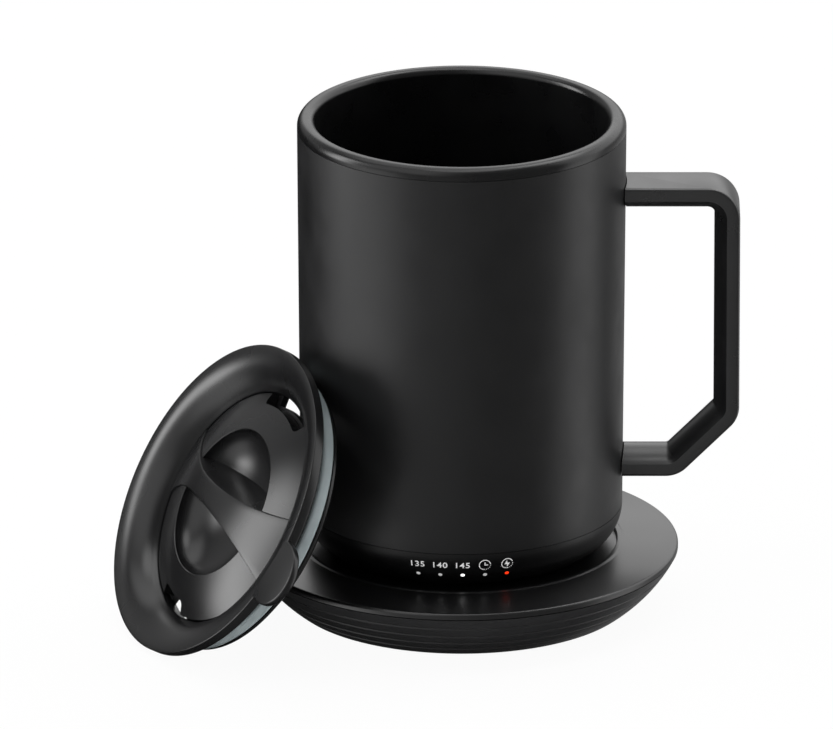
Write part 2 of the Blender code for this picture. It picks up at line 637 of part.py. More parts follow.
def make_liner(material, parent):
    """Drinking vessel in one piece with the rolled rim that closes the shell."""
    under_rim = MUG_SEAM + GAP
    spigot = MUG_RADIUS - SHELL_WALL - RIM_SPIGOT_GAP
    outer = LINER_RADIUS + LINER_WALL
    profile = [(0, LINER_INSIDE)]
    profile += arc((LINER_RADIUS - LINER_CORNER, LINER_INSIDE + LINER_CORNER), LINER_CORNER,
                   -math.pi / 2, 0, 3)
    profile += arc((LINER_RADIUS + RIM_INNER_ROUND, MUG_TOP - RIM_INNER_ROUND), RIM_INNER_ROUND,
                   math.pi, math.pi / 2, 3)
    profile += arc((MUG_RADIUS - RIM_OUTER_ROUND, MUG_TOP - RIM_OUTER_ROUND), RIM_OUTER_ROUND,
                   math.pi / 2, 0, 3)
    profile += [(MUG_RADIUS, under_rim), (spigot, under_rim), (spigot, under_rim - RIM_SPIGOT_DEPTH),
                (outer, under_rim - RIM_SPIGOT_DEPTH)]
    profile += arc((LINER_RADIUS - LINER_CORNER, LINER_INSIDE + LINER_CORNER), LINER_CORNER + LINER_WALL,
                   0, -math.pi / 2, 2)
    profile.append((0, LINER_BOTTOM))
    turned("mug_liner", profile, LARGE_FACETS, material, parent)


def rounded_path(corners, rounds, steps):
    """Places and directions along a path whose corners are rounded."""
    path = [(corners[0], (corners[1] - corners[0]).normalized())]
    for before, corner, after, radius in zip(corners, corners[1:], corners[2:], rounds):
        into = (corner - before).normalized()
        away = (after - corner).normalized()
        turn = into.angle(away)
        setback = radius * math.tan(turn / 2)
        side = Vector((into.y, -into.x))
        pivot = corner - into * setback + side * radius
        for i in range(steps + 1):
            swing = Matrix.Rotation(-turn * i / steps, 2)
            path.append((pivot - swing @ side * radius, swing @ into))
    path.append((corners[-1], (corners[-1] - corners[-2]).normalized()))
    return path


def make_handle(material, parent):
    """D-section bar along a rounded, slanted loop, cut to meet the shell."""
    start = MUG_LOWER_RADIUS - HANDLE_DEPTH
    corners = [Vector(p) for p in ((start, HANDLE_TOP_HEIGHT), (HANDLE_REACH, HANDLE_TOP_HEIGHT),
                                   (HANDLE_REACH, HANDLE_BOTTOM_HEIGHT + HANDLE_SLANT),
                                   (HANDLE_REACH - HANDLE_SLANT, HANDLE_BOTTOM_HEIGHT),
                                   (start, HANDLE_BOTTOM_HEIGHT))]
    half = HANDLE_WIDTH / 2
    belly = HANDLE_DEPTH - HANDLE_SIDE
    belly_radius = (half ** 2 + belly ** 2) / (2 * belly)
    spread = math.asin(half / belly_radius)
    section = [(HANDLE_EDGE, half), (0, half - HANDLE_EDGE), (0, HANDLE_EDGE - half), (HANDLE_EDGE, -half)]
    section += [(HANDLE_DEPTH - belly_radius + x, y)
                for x, y in arc((0, 0), belly_radius, -spread, spread, 6)]
    rings = []
    for place, direction in rounded_path(corners, (HANDLE_TOP_ROUND, HANDLE_LOWER_ROUND, HANDLE_LOWER_ROUND), 5):
        inward = Vector((direction.y, -direction.x))
        rings.append([(place.x + inward.x * depth, across, place.y + inward.y * depth)
                      for depth, across in section])
    bm = bmesh.new()
    add_loft(bm, rings)
    handle = finish("mug_handle", bm, material, parent)
    room = bmesh.new()
    add_turned(room, [(0, SHELL_BOTTOM - CAP_ROUND), (MUG_LOWER_RADIUS + GAP, SHELL_BOTTOM),
                      (MUG_RADIUS + GAP, MUG_SEAM), (0, MUG_TOP)], LARGE_FACETS)
    combine(handle, "handle_room", room, 'DIFFERENCE', parent)


def lens_direction():
    """Unit vector out of the cap's round at the indicator row, as (radius, height)."""
    rise = (LENS_HEIGHT - CAP_TOP) / CAP_ROUND
    return Vector((math.sqrt(1 - rise ** 2), rise))


def lens_places():
    """Placement of each lens: its own +Z points out of the cap."""
    outward = lens_direction()
    tilt = math.pi / 2 - math.asin(outward.y)
    middle = (len(LENS_NAMES) - 1) / 2
    for i in range(len(LENS_NAMES)):
        azimuth = LENS_ROW_TURN - math.pi / 2 + LENS_STEP * (i - middle)
        yield (Matrix.Rotation(azimuth, 4, 'Z') @ at(CAP_ARC_CENTRE, 0, CAP_TOP)
               @ Matrix.Rotation(tilt, 4, 'Y'))


def make_base_cap(material, parent):
    """Rounded plastic cap with the indicator holes, board posts and seal groove."""
    inner = CAP_ROUND - CAP_WALL
    floor_angle = math.asin((CAP_INSIDE - CAP_TOP) / inner)
    spigot = shell_radius(SHELL_BOTTOM) - SHELL_WALL - GAP
    spigot_top = CAP_TOP + CAP_SPIGOT_HEIGHT
    seal_low = CAP_TOP + (CAP_SPIGOT_HEIGHT - SEAL_HEIGHT) / 2 - GAP
    seal_high = seal_low + SEAL_HEIGHT + 2 * GAP
    groove = spigot - SEAL_DEPTH - GAP
    hole = COVER_PLATE_RADIUS + GAP
    ledge = COVER_PLATE_HIGH + GAP
    profile = arc((CAP_ARC_CENTRE, CAP_TOP), CAP_ROUND, -math.pi / 2, 0, 6)
    profile += [(spigot, CAP_TOP), (spigot, seal_low), (groove, seal_low), (groove, seal_high),
                (spigot, seal_high), (spigot, spigot_top), (spigot - CAP_SPIGOT_WALL, spigot_top),
                (spigot - CAP_SPIGOT_WALL, CAP_TOP)]
    profile += arc((CAP_ARC_CENTRE, CAP_TOP), inner, 0, floor_angle, 2)[1:]
    profile += [(hole - COVER_LEDGE_WIDTH, CAP_INSIDE), (hole - COVER_LEDGE_WIDTH, ledge), (hole, ledge),
                (hole, MUG_FOOT_HEIGHT), (GRIP_RING_INNER - GAP, MUG_FOOT_HEIGHT),
                (GRIP_RING_INNER - GAP, MUG_FOOT_HEIGHT + GRIP_RING_HEIGHT + GAP),
                (GRIP_RING_OUTER + GAP, MUG_FOOT_HEIGHT + GRIP_RING_HEIGHT + GAP),
                (GRIP_RING_OUTER + GAP, MUG_FOOT_HEIGHT)]
    cap = turned("mug_base_cap", profile, LARGE_FACETS, material, parent)

    posts = bmesh.new()
    for x, y in on_circle(BOARD_POST_CIRCLE, SCREW_COUNT, math.radians(30)):
        add_cylinder(posts, BOARD_POST_RADIUS, CAP_INSIDE - GAP, CAP_INSIDE + BOARD_POST_HEIGHT,
                     at(x, y), TINY_FACETS)
    combine(cap, "cap_posts", posts, 'UNION', parent)

    holes = bmesh.new()
    for place in lens_places():
        add_cylinder(holes, LENS_RADIUS + LENS_FIT, inner - CAP_WALL, CAP_ROUND + OVERRUN, place, TINY_FACETS)
    combine(cap, "cap_lens_holes", holes, 'DIFFERENCE', parent)


def make_indicators(lens_materials, board_material, parent):
    """Light guides of the indicator row and the curved board behind them."""
    inner = CAP_ROUND - CAP_WALL
    back = inner - LENS_BACKSET
    for name, place, material in zip(LENS_NAMES, lens_places(), lens_materials):
        bm = bmesh.new()
        add_cylinder(bm, LENS_RADIUS, back, CAP_ROUND, place, TINY_FACETS)
        finish(name, bm, material, parent)
    outward = lens_direction()
    along = Vector((-outward.y, outward.x))
    centre = Vector((CAP_ARC_CENTRE, CAP_TOP))
    front = back - GAP
    corners = ((front, -1), (front, 1), (front - LED_BOARD_THICKNESS, 1), (front - LED_BOARD_THICKNESS, -1))
    profile = [tuple(centre + outward * depth + along * LED_BOARD_HALF_HEIGHT * side) for depth, side in corners]
    sweep = LENS_STEP * (len(LENS_NAMES) - 1) + 2 * LED_BOARD_MARGIN
    bm = bmesh.new()
    add_turned(bm, profile, TINY_FACETS, Matrix.Rotation(LENS_ROW_TURN - math.pi / 2 - sweep / 2, 4, 'Z'), sweep)
    finish("indicator_board", bm, board_material, parent)


def make_bottom_cover(material, parent):
    """Plate under the mug, with pockets for the contacts and screws and the button's hole."""
    low, high = MUG_FOOT_HEIGHT, COVER_PLATE_HIGH
    pocket = CONTACT_FACE + CONTACT_THICKNESS + GAP
    profile = [(0, pocket), (CONTACT_DISC_RADIUS + GAP, pocket), (CONTACT_DISC_RADIUS + GAP, low),
               (CONTACT_RING_INNER - GAP, low), (CONTACT_RING_INNER - GAP, pocket),
               (CONTACT_RING_OUTER + GAP, pocket), (CONTACT_RING_OUTER + GAP, low),
               (COVER_PLATE_RADIUS, low), (COVER_PLATE_RADIUS, high + GAP)]
    rim = COVER_PLATE_RADIUS - COVER_LEDGE_WIDTH
    top = CAP_INSIDE - GAP
    profile += [(rim, high + GAP), (rim, top), (0, top)]
    plate = turned("mug_bottom_cover", profile, MEDIUM_FACETS, material, parent)

    holes = bmesh.new()
    add_cylinder(holes, BUTTON_RADIUS + GAP, low - OVERRUN, top + OVERRUN, at(0, BUTTON_OFFSET))
    for x, y in plate_screw_places():
        head = PLATE_SCREW_HEAD_RADIUS + GAP
        shank = PLATE_SCREW_SHANK_RADIUS + GAP
        seat = low + PLATE_SCREW_HEAD_HEIGHT + 2 * GAP
        add_turned(holes, [(0, low - OVERRUN), (head, low - OVERRUN), (head, seat), (shank, seat),
                           (shank, top + OVERRUN), (0, top + OVERRUN)], TINY_FACETS, at(x, y))
    combine(plate, "bottom_cover_holes", holes, 'DIFFERENCE', parent)


def plate_screw_places():
    """Screws of the bottom cover, clear of the button."""
    return on_circle(PLATE_SCREW_CIRCLE, SCREW_COUNT, math.radians(-90))


def make_base_parts(finishes, parent):
    """Grip ring, contacts, button, switch, boards and screws of the mug's base."""
    low = MUG_FOOT_HEIGHT
    turned("anti_slip_ring", [(GRIP_RING_INNER, low), (GRIP_RING_OUTER, low),
                              (GRIP_RING_OUTER, low + GRIP_RING_HEIGHT), (GRIP_RING_INNER, low + GRIP_RING_HEIGHT)],
           LARGE_FACETS, finishes["rubber"], parent)
    face, back = CONTACT_FACE, CONTACT_FACE + CONTACT_THICKNESS
    turned("contact_disc", [(0, face), (CONTACT_DISC_RADIUS, face), (CONTACT_DISC_RADIUS, back), (0, back)],
           SMALL_FACETS, finishes["gold plate"], parent)
    turned("contact_ring", [(CONTACT_RING_INNER, face), (CONTACT_RING_OUTER, face),
                            (CONTACT_RING_OUTER, back), (CONTACT_RING_INNER, back)],
           MEDIUM_FACETS, finishes["gold plate"], parent)

    flange_low = CAP_INSIDE
    flange_high = flange_low + BUTTON_FLANGE_HEIGHT
    stem = SWITCH_WIDTH / 4
    switch_low = MUG_BOARD_LOW - GAP - SWITCH_WIDTH / 2
    stem_high = switch_low - BUTTON_TRAVEL - GAP
    flange = BUTTON_RADIUS + BUTTON_FLANGE
    turned("power_button", [(0, low + GAP), (BUTTON_RADIUS, low + GAP), (BUTTON_RADIUS, flange_low),
                            (flange, flange_low), (flange, flange_high), (stem, flange_high),
                            (stem, stem_high), (0, stem_high)], SMALL_FACETS, finishes["rubber"],
           parent, location=(0, BUTTON_OFFSET, 0))
    half = SWITCH_WIDTH / 2
    switch = bmesh.new()
    square = [(-half, BUTTON_OFFSET - half), (half, BUTTON_OFFSET - half),
              (half, BUTTON_OFFSET + half), (-half, BUTTON_OFFSET + half)]
    add_prism(switch, square, switch_low, MUG_BOARD_LOW - GAP)
    finish("button_switch", switch, finishes["inner plastic"], parent)

    board_radius = MUG_LOWER_RADIUS - MUG_BOARD_INSET
    turned("main_circuit_board", [(0, MUG_BOARD_LOW), (board_radius, MUG_BOARD_LOW),
                                  (board_radius, MUG_BOARD_HIGH), (0, MUG_BOARD_HIGH)],
           MEDIUM_FACETS, finishes["circuit board"], parent)
    head = low + GAP
    shoulder = head + PLATE_SCREW_HEAD_HEIGHT
    tip = head + PLATE_SCREW_LENGTH
    profile = [(0, head), (PLATE_SCREW_HEAD_RADIUS, head), (PLATE_SCREW_HEAD_RADIUS, shoulder),
               (PLATE_SCREW_SHANK_RADIUS, shoulder), (PLATE_SCREW_SHANK_RADIUS, tip), (0, tip)]
    for i, (x, y) in enumerate(plate_screw_places()):
        turned(f"bottom_screw_{i + 1}", profile, TINY_FACETS, finishes["steel"], parent, location=(x, y, 0))
    spigot = shell_radius(SHELL_BOTTOM) - SHELL_WALL - GAP
    seal_low = CAP_TOP + (CAP_SPIGOT_HEIGHT - SEAL_HEIGHT) / 2
    turned("base_seal", [(spigot - SEAL_DEPTH, seal_low), (spigot, seal_low),
                         (spigot, seal_low + SEAL_HEIGHT), (spigot - SEAL_DEPTH, seal_low + SEAL_HEIGHT)],
           LARGE_FACETS, finishes["silicone"], parent)


def add_cells(bm, allowance=0.0, facets=MEDIUM_FACETS // 2):
    """Both cells side by side along X, each grown by the allowance."""
    for side in (-1, 1):
        place = (at(-CELL_LENGTH / 2, side * CELL_SPACING / 2, CELL_HEIGHT)
                 @ Matrix.Rotation(math.pi / 2, 4, 'Y'))
        add_cylinder(bm, CELL_RADIUS + allowance, -allowance, CELL_LENGTH + allowance, place, facets)


def make_battery(finishes, parent):
    """Two cells lying side by side in a moulded tray."""
    profile = [(0, 0), (CELL_RADIUS, 0), (CELL_RADIUS, CELL_LENGTH - CELL_CAP_HEIGHT),
               (CELL_CAP_RADIUS, CELL_LENGTH - CELL_CAP_HEIGHT), (CELL_CAP_RADIUS, CELL_LENGTH), (0, CELL_LENGTH)]
    for i, side in enumerate((-1, 1)):
        turned(f"battery_cell_{i + 1}", profile, MEDIUM_FACETS // 2, finishes["cell sleeve"], parent,
               location=(-CELL_LENGTH / 2, side * CELL_SPACING / 2, CELL_HEIGHT), rotation=(0, math.pi / 2, 0))
    radius = MUG_LOWER_RADIUS - TRAY_INSET
    tray = turned("battery_tray", [(0, TRAY_LOW), (radius, TRAY_LOW), (radius, TRAY_LOW + TRAY_HEIGHT),
                                   (0, TRAY_LOW + TRAY_HEIGHT)], MEDIUM_FACETS, finishes["inner plastic"], parent)
    legs = bmesh.new()
    for x, y in on_circle(BOARD_POST_CIRCLE, SCREW_COUNT, math.radians(30)):
        add_cylinder(legs, TRAY_LEG_RADIUS, MUG_BOARD_HIGH + GAP, TRAY_LOW + GAP, at(x, y), TINY_FACETS)
    combine(tray, "tray_legs", legs, 'UNION', parent)
    troughs = bmesh.new()
    add_cells(troughs, GAP)
    combine(tray, "tray_troughs", troughs, 'DIFFERENCE', parent)


def disc(name, radius, low, thickness, material, parent):
    """Flat round plate."""
    return turned(name, [(0, low), (radius, low), (radius, low + thickness), (0, low + thickness)],
                  MEDIUM_FACETS, material, parent)


def make_heating(finishes, parent):
    """Heater film, spreader, insulation and sensor stacked under the liner."""
    disc("heater_film", LINER_RADIUS - HEATER_INSET, HEATER_LOW, HEATER_THICKNESS, finishes["heater film"], parent)
    disc("heat_spreader", LINER_RADIUS - SPREADER_INSET, SPREADER_LOW, SPREADER_THICKNESS,
         finishes["aluminium"], parent)
    pad = disc("insulation_disc", LINER_RADIUS - INSULATION_INSET, INSULATION_LOW, INSULATION_THICKNESS,
               finishes["insulation"], parent)
    pocket = bmesh.new()
    add_cylinder(pocket, SENSOR_RADIUS + GAP, INSULATION_LOW + INSULATION_THICKNESS - SENSOR_LENGTH - GAP,
                 INSULATION_LOW + INSULATION_THICKNESS + OVERRUN, at(SENSOR_OFFSET, 0), TINY_FACETS)
    combine(pad, "sensor_pocket", pocket, 'DIFFERENCE', parent)
    sensor_low = INSULATION_LOW + INSULATION_THICKNESS - SENSOR_LENGTH
    turned("temperature_sensor", [(0, sensor_low), (SENSOR_RADIUS, sensor_low),
                                  (SENSOR_RADIUS, sensor_low + SENSOR_LENGTH), (0, sensor_low + SENSOR_LENGTH)],
           TINY_FACETS, finishes["steel"], parent, location=(SENSOR_OFFSET, 0, 0))


def make_mug(finishes):
    """Everything that lifts off the coaster with the mug."""
    frame = make_frame("mug_frame")
    make_outer_shell(finishes["powder coat"], frame)
    make_liner(finishes["liner coat"], frame)
    make_handle(finishes["handle plastic"], frame)
    make_base_cap(finishes["cap plastic"], frame)
    lamps = [finishes["white lens"]] * (len(LENS_NAMES) - 1) + [finishes["red lens"]]
    make_indicators(lamps, finishes["circuit board"], frame)
    make_bottom_cover(finishes["cap plastic"], frame)
    make_base_parts(finishes, frame)
    make_battery(finishes, frame)
    make_heating(finishes, frame)


def sector(inner, outer, middle, half_angle, steps=6):
    """Outline between two radii, on both sides of a middle angle."""
    return (arc((0, 0), outer, middle - half_angle, middle + half_angle, steps)
            + arc((0, 0), inner, middle + half_angle, middle - half_angle, steps))


def notch_outline(middle, half_angle):
    """Sector cut into the rotor's edge, with rounded inner corners."""
    pivot = NOTCH_INNER + NOTCH_CORNER
    lead = math.asin(NOTCH_CORNER / pivot)
    first = middle + half_angle - lead
    last = middle - half_angle + lead
    outline = arc((0, 0), ROTOR_RADIUS + OVERRUN, middle - half_angle, middle + half_angle, 6)
    outline += arc(on_arc((0, 0), pivot, first), NOTCH_CORNER, first + lead + math.pi / 2, first + math.pi, 3)
    outline += arc((0, 0), NOTCH_INNER, first, last, 6)[1:-1]
    outline += arc(on_arc((0, 0), pivot, last), NOTCH_CORNER, last + math.pi, last - lead + 3 * math.pi / 2, 3)
    return outline


def make_lid_body(material, parent):
    """Rolled flange, well for the rotor, plug with the gasket groove, two ports and a thumb tab."""
    roll_centre = (LID_RADIUS - LID_ROLL_INSET, -LID_ROLL_ARC)
    floor_low = LID_FLOOR_DEPTH + LID_FLOOR
    groove_top = GASKET_TOP - GAP
    groove_low = GASKET_TOP + GASKET_HEIGHT + GAP
    groove = LID_PLUG_RADIUS - GASKET_DEPTH - GAP
    lip_top = LID_PLUG_DEPTH - LID_LIP_HEIGHT
    hub_hole = HUB_RADIUS + GAP
    profile = [(LID_RADIUS, -LID_BAND), (LID_RADIUS, -LID_EDGE), (LID_RADIUS - LID_EDGE, 0)]
    profile += arc(roll_centre, LID_ROLL_ARC, math.pi / 2, math.pi / 2 + LID_ROLL_END, 4)
    profile += [(LID_WELL_RADIUS, -ROTOR_EDGE_DEPTH), (LID_WELL_RADIUS, -LID_FLOOR_DEPTH)]
    seal_outer = ROTOR_SEAL_INNER + ROTOR_SEAL_WIDTH
    seal_floor = -LID_FLOOR_DEPTH - ROTOR_SEAL_HEIGHT - GAP
    profile += [(seal_outer + GAP, -LID_FLOOR_DEPTH), (seal_outer + GAP, seal_floor),
                (ROTOR_SEAL_INNER - GAP, seal_floor), (ROTOR_SEAL_INNER - GAP, -LID_FLOOR_DEPTH)]
    profile += [(hub_hole, -LID_FLOOR_DEPTH), (hub_hole, -floor_low), (LID_SKIRT_INNER, -floor_low),
                (LID_SKIRT_INNER, -LID_PLUG_DEPTH), (LID_LIP_RADIUS, -LID_PLUG_DEPTH),
                (LID_PLUG_RADIUS, -lip_top), (LID_PLUG_RADIUS, -groove_low), (groove, -groove_low),
                (groove, -groove_top), (LID_PLUG_RADIUS, -groove_top), (LID_PLUG_RADIUS, -LID_BAND)]
    body = turned("lid_body", profile, LARGE_FACETS, material, parent)

    tab = bmesh.new()
    levels = ((LID_TAB_EDGE, LID_TAB_RISE), (0, LID_TAB_RISE - LID_TAB_EDGE),
              (0, LID_TAB_RISE - LID_TAB_THICKNESS))
    turn = Matrix.Rotation(LID_TURN, 4, 'Z')
    rings = []
    for inset, height in levels:
        outline = [(LID_TAB_INNER, inset - LID_TAB_RADIUS)]
        outline += arc((LID_TAB_CENTRE, 0), LID_TAB_RADIUS - inset, -math.pi / 2, math.pi / 2, 10)
        outline.append((LID_TAB_INNER, LID_TAB_RADIUS - inset))
        rings.append([turn @ Vector((x, y, height)) for x, y in outline])
    add_loft(tab, rings)
    combine(body, "lid_tab", tab, 'UNION', parent)

    ports = bmesh.new()
    for side, half_angle in ((1, PORT_HALF_ANGLE), (-1, VENT_HALF_ANGLE)):
        add_prism(ports, sector(PORT_INNER, PORT_OUTER, LID_TURN + side * math.pi / 2, half_angle),
                  -floor_low - OVERRUN, -ROTOR_PLATE_LOW)
    combine(body, "lid_ports", ports, 'DIFFERENCE', parent)


def crown_depth(radius, apex):
    """Depth of the rotor's crowned face at a radius."""
    fall = ROTOR_EDGE_DEPTH - ROTOR_CROWN_DEPTH
    ball = (ROTOR_RADIUS ** 2 + fall ** 2) / (2 * fall)
    return apex + ball - math.sqrt(ball ** 2 - radius ** 2)


def make_lid_rotor(material, parent):
    """Crowned disc with a concentric bowl, bridged by a waisted grip, and a notch at each port."""
    retainer_top = LID_FLOOR_DEPTH + LID_FLOOR
    groove_low = retainer_top + RETAINER_THICKNESS + 2 * GAP
    groove = HUB_RADIUS - HUB_GROOVE_DEPTH
    profile = [(0, -ROTOR_BOTTOM_DEPTH), (HUB_RADIUS, -ROTOR_BOTTOM_DEPTH), (HUB_RADIUS, -groove_low),
               (groove, -groove_low), (groove, -retainer_top), (HUB_RADIUS, -retainer_top),
               (HUB_RADIUS, -ROTOR_PLATE_LOW), (ROTOR_RADIUS, -ROTOR_PLATE_LOW)]
    rim_steps = 3
    for i in range(rim_steps + 1):
        radius = ROTOR_RADIUS + (BOWL_RADIUS - ROTOR_RADIUS) * i / rim_steps
        profile.append((radius, -crown_depth(radius, ROTOR_CROWN_DEPTH)))
    lip = crown_depth(BOWL_RADIUS, ROTOR_CROWN_DEPTH) + BOWL_LIP
    bowl_steps = 5
    for i in range(bowl_steps):
        angle = math.pi / 2 * i / bowl_steps
        profile.append(((BOWL_RADIUS - BOWL_LIP) * math.cos(angle), -lip - (BOWL_DEPTH - lip) * math.sin(angle)))
    profile.append((0, -BOWL_DEPTH))
    rotor = turned("lid_rotor", profile, LARGE_FACETS, material, parent)
    combine(rotor, "lid_grip", grip_mesh(), 'UNION', parent)

    notches = bmesh.new()
    for middle, half_angle in ((ROTOR_TURN + math.pi / 2, NOTCH_HALF_ANGLE),
                               (ROTOR_TURN + VENT_NOTCH_TURN - math.pi / 2, VENT_NOTCH_HALF_ANGLE)):
        add_prism(notches, notch_outline(middle, half_angle), -ROTOR_PLATE_LOW - OVERRUN, OVERRUN)
    combine(rotor, "rotor_notches", notches, 'DIFFERENCE', parent)


def grip_half_width(share):
    """Half width of the grip's top, narrowest a little way from the middle."""
    span = 1 - GRIP_WAIST_SHARE if share > GRIP_WAIST_SHARE else 1 + GRIP_WAIST_SHARE
    flare = (abs(share - GRIP_WAIST_SHARE) / span) ** GRIP_FLARE_POWER
    return GRIP_WAIST + (GRIP_END - GRIP_WAIST) * flare


def grip_mesh():
    """Waisted grip that stands over the crowned face, with drafted sides down into the bowl."""
    apex = ROTOR_CROWN_DEPTH - GRIP_RISE
    stations = 12
    turn = Matrix.Rotation(ROTOR_TURN, 4, 'Z')
    floor = (BOWL_DEPTH + ROTOR_BOTTOM_DEPTH) / 2
    plate = ROTOR_EDGE_DEPTH + ROTOR_EDGE / 2
    reach = ROTOR_RADIUS - GRIP_INSET
    rings = []
    for i in range(stations + 1):
        share = 2 * i / stations - 1
        top = crown_depth(abs(share) * reach, apex)
        low = floor if abs(share) * reach < BOWL_RADIUS - BOWL_LIP else plate
        ring = []
        for side, depth_share in ((-1, 1), (-1, 0), (0, 0), (1, 0), (1, 1)):
            fall = (low - top) * depth_share
            across = side * (grip_half_width(share) + GRIP_DRAFT_SHARE * fall)
            along = share * math.sqrt(reach ** 2 - across ** 2)
            depth = crown_depth(math.hypot(along, across), apex) if depth_share == 0 else top + fall
            ring.append(turn @ Vector((along, across, -depth)))
        rings.append(ring)
    bm = bmesh.new()
    add_loft(bm, rings)
    return bm


def make_lid_small_parts(finishes, parent):
    """Gasket, rotor seal and the split ring that holds the rotor."""
    inner = LID_PLUG_RADIUS - GASKET_DEPTH
    outer = LID_PLUG_RADIUS + GASKET_STANDOUT
    low = -GASKET_TOP - GASKET_HEIGHT
    turned("lid_gasket", [(inner, -GASKET_TOP), (outer - GASKET_EDGE, -GASKET_TOP),
                          (outer, -GASKET_TOP - GASKET_EDGE), (outer, low + GASKET_EDGE),
                          (outer - GASKET_EDGE, low), (inner, low)], LARGE_FACETS, finishes["gasket"], parent)
    seal_outer = ROTOR_SEAL_INNER + ROTOR_SEAL_WIDTH
    seal_low = -LID_FLOOR_DEPTH - ROTOR_SEAL_HEIGHT
    turned("rotor_seal", [(ROTOR_SEAL_INNER, seal_low), (seal_outer, seal_low),
                          (seal_outer, -LID_FLOOR_DEPTH), (ROTOR_SEAL_INNER, -LID_FLOOR_DEPTH)],
           MEDIUM_FACETS, finishes["silicone"], parent)
    ring_inner = HUB_RADIUS - HUB_GROOVE_DEPTH + GAP
    ring_top = -LID_FLOOR_DEPTH - LID_FLOOR - GAP
    ring_low = ring_top - RETAINER_THICKNESS
    bm = bmesh.new()
    add_turned(bm, [(ring_inner, ring_low), (ring_inner + RETAINER_WIDTH, ring_low),
                    (ring_inner + RETAINER_WIDTH, ring_top), (ring_inner, ring_top)],
               MEDIUM_FACETS, sweep=RETAINER_SWEEP)
    finish("rotor_retainer", bm, finishes["inner plastic"], parent)


def make_lid(finishes):
    """Lid in its own frame, leaning on the mug with its band on the table."""
    frame = make_frame("lid_frame",
                       location=(LID_DISTANCE * math.cos(LEAN_AZIMUTH), LID_DISTANCE * math.sin(LEAN_AZIMUTH),
                                 LID_HEIGHT),
                       rotation=(LEAN, 0, LEAN_AZIMUTH + math.pi / 2))
    make_lid_body(finishes["lid plastic"], frame)
    make_lid_rotor(finishes["lid plastic"], frame)
    make_lid_small_parts(finishes, frame)


def make_finishes():
    """Materials of the whole assembly."""
    return {
        "coaster plastic": make_material("coaster plastic", (0.012, 0.012, 0.013), 0.45),
        "coaster top": make_material("coaster top", (0.010, 0.010, 0.011), 0.25),
        "rubber": make_material("rubber", (0.010, 0.010, 0.010), 0.85),
        "steel": make_material("steel", (0.55, 0.56, 0.58), 0.35, 1.0),
        "inner plastic": make_material("inner plastic", (0.06, 0.06, 0.065), 0.55),
        "brass": make_material("brass", (0.72, 0.53, 0.22), 0.35, 1.0),
        "gold plate": make_material("gold plate", (0.90, 0.68, 0.28), 0.25, 1.0),
        "circuit board": make_material("circuit board", (0.02, 0.14, 0.06), 0.45),
        "powder coat": make_material("powder coat", (0.014, 0.014, 0.015), 0.42, 0.1),
        "liner coat": make_material("liner coat", (0.008, 0.008, 0.009), 0.30),
        "handle plastic": make_material("handle plastic", (0.014, 0.014, 0.015), 0.42),
        "cap plastic": make_material("cap plastic", (0.010, 0.010, 0.011), 0.40),
        "silicone": make_material("silicone", (0.10, 0.10, 0.11), 0.60),
        "gasket": make_material("gasket", (0.42, 0.46, 0.48), 0.45),
        "lid plastic": make_material("lid plastic", (0.018, 0.018, 0.019), 0.32),
        "white lens": make_material("white lens", (0.80, 0.80, 0.80), 0.30),
        "red lens": make_material("red lens", (0.80, 0.10, 0.04), 0.30),
        "cell sleeve": make_material("cell sleeve", (0.05, 0.16, 0.40), 0.40),
        "heater film": make_material("heater film", (0.50, 0.22, 0.04), 0.40),
        "aluminium": make_material("aluminium", (0.80, 0.81, 0.82), 0.35, 1.0),
        "insulation": make_material("insulation", (0.62, 0.60, 0.55), 0.90),
    }


def main():
    """Build the whole assembly."""
    clear_scene()
    finishes = make_finishes()
    make_coaster(finishes)
    make_mug(finishes)
    make_lid(finishes)


main()
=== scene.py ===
# Looks of a self-heating mug on its charging coaster, with its spill lid taken off and leaned against it.
import json
import math

import bmesh
import bpy
from mathutils import Matrix, Vector


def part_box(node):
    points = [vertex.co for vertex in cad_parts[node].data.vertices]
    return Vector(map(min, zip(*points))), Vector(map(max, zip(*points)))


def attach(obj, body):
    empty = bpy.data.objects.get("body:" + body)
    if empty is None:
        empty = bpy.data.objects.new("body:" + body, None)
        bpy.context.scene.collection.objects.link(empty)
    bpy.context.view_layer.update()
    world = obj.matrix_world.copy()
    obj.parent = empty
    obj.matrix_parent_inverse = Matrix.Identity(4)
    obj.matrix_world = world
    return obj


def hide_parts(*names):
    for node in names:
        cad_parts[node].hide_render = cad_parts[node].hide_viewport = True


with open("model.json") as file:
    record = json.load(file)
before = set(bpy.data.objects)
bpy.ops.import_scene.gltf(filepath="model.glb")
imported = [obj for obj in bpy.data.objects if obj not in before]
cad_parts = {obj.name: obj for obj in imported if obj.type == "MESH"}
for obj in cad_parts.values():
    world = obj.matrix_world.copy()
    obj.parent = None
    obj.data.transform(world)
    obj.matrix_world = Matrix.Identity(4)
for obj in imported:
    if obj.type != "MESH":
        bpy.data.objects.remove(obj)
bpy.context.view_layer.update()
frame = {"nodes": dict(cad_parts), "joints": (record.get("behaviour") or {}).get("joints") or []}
print("frame loaded")

quarter = math.pi / 2
onAxis = 1e-7  # a radius under this lies on the axis
weld = 1e-7  # points nearer than this become one


def millimetres(**sizes):
    return {name: value * 0.001 for name, value in sizes.items()}


def hexColour(code):
    channels = [int(code[i:i + 2], 16) / 255 for i in (1, 3, 5)]
    linear = [c / 12.92 if c <= 0.04045 else ((c + 0.055) / 1.055) ** 2.4 for c in channels]
    return (*linear, 1.0)


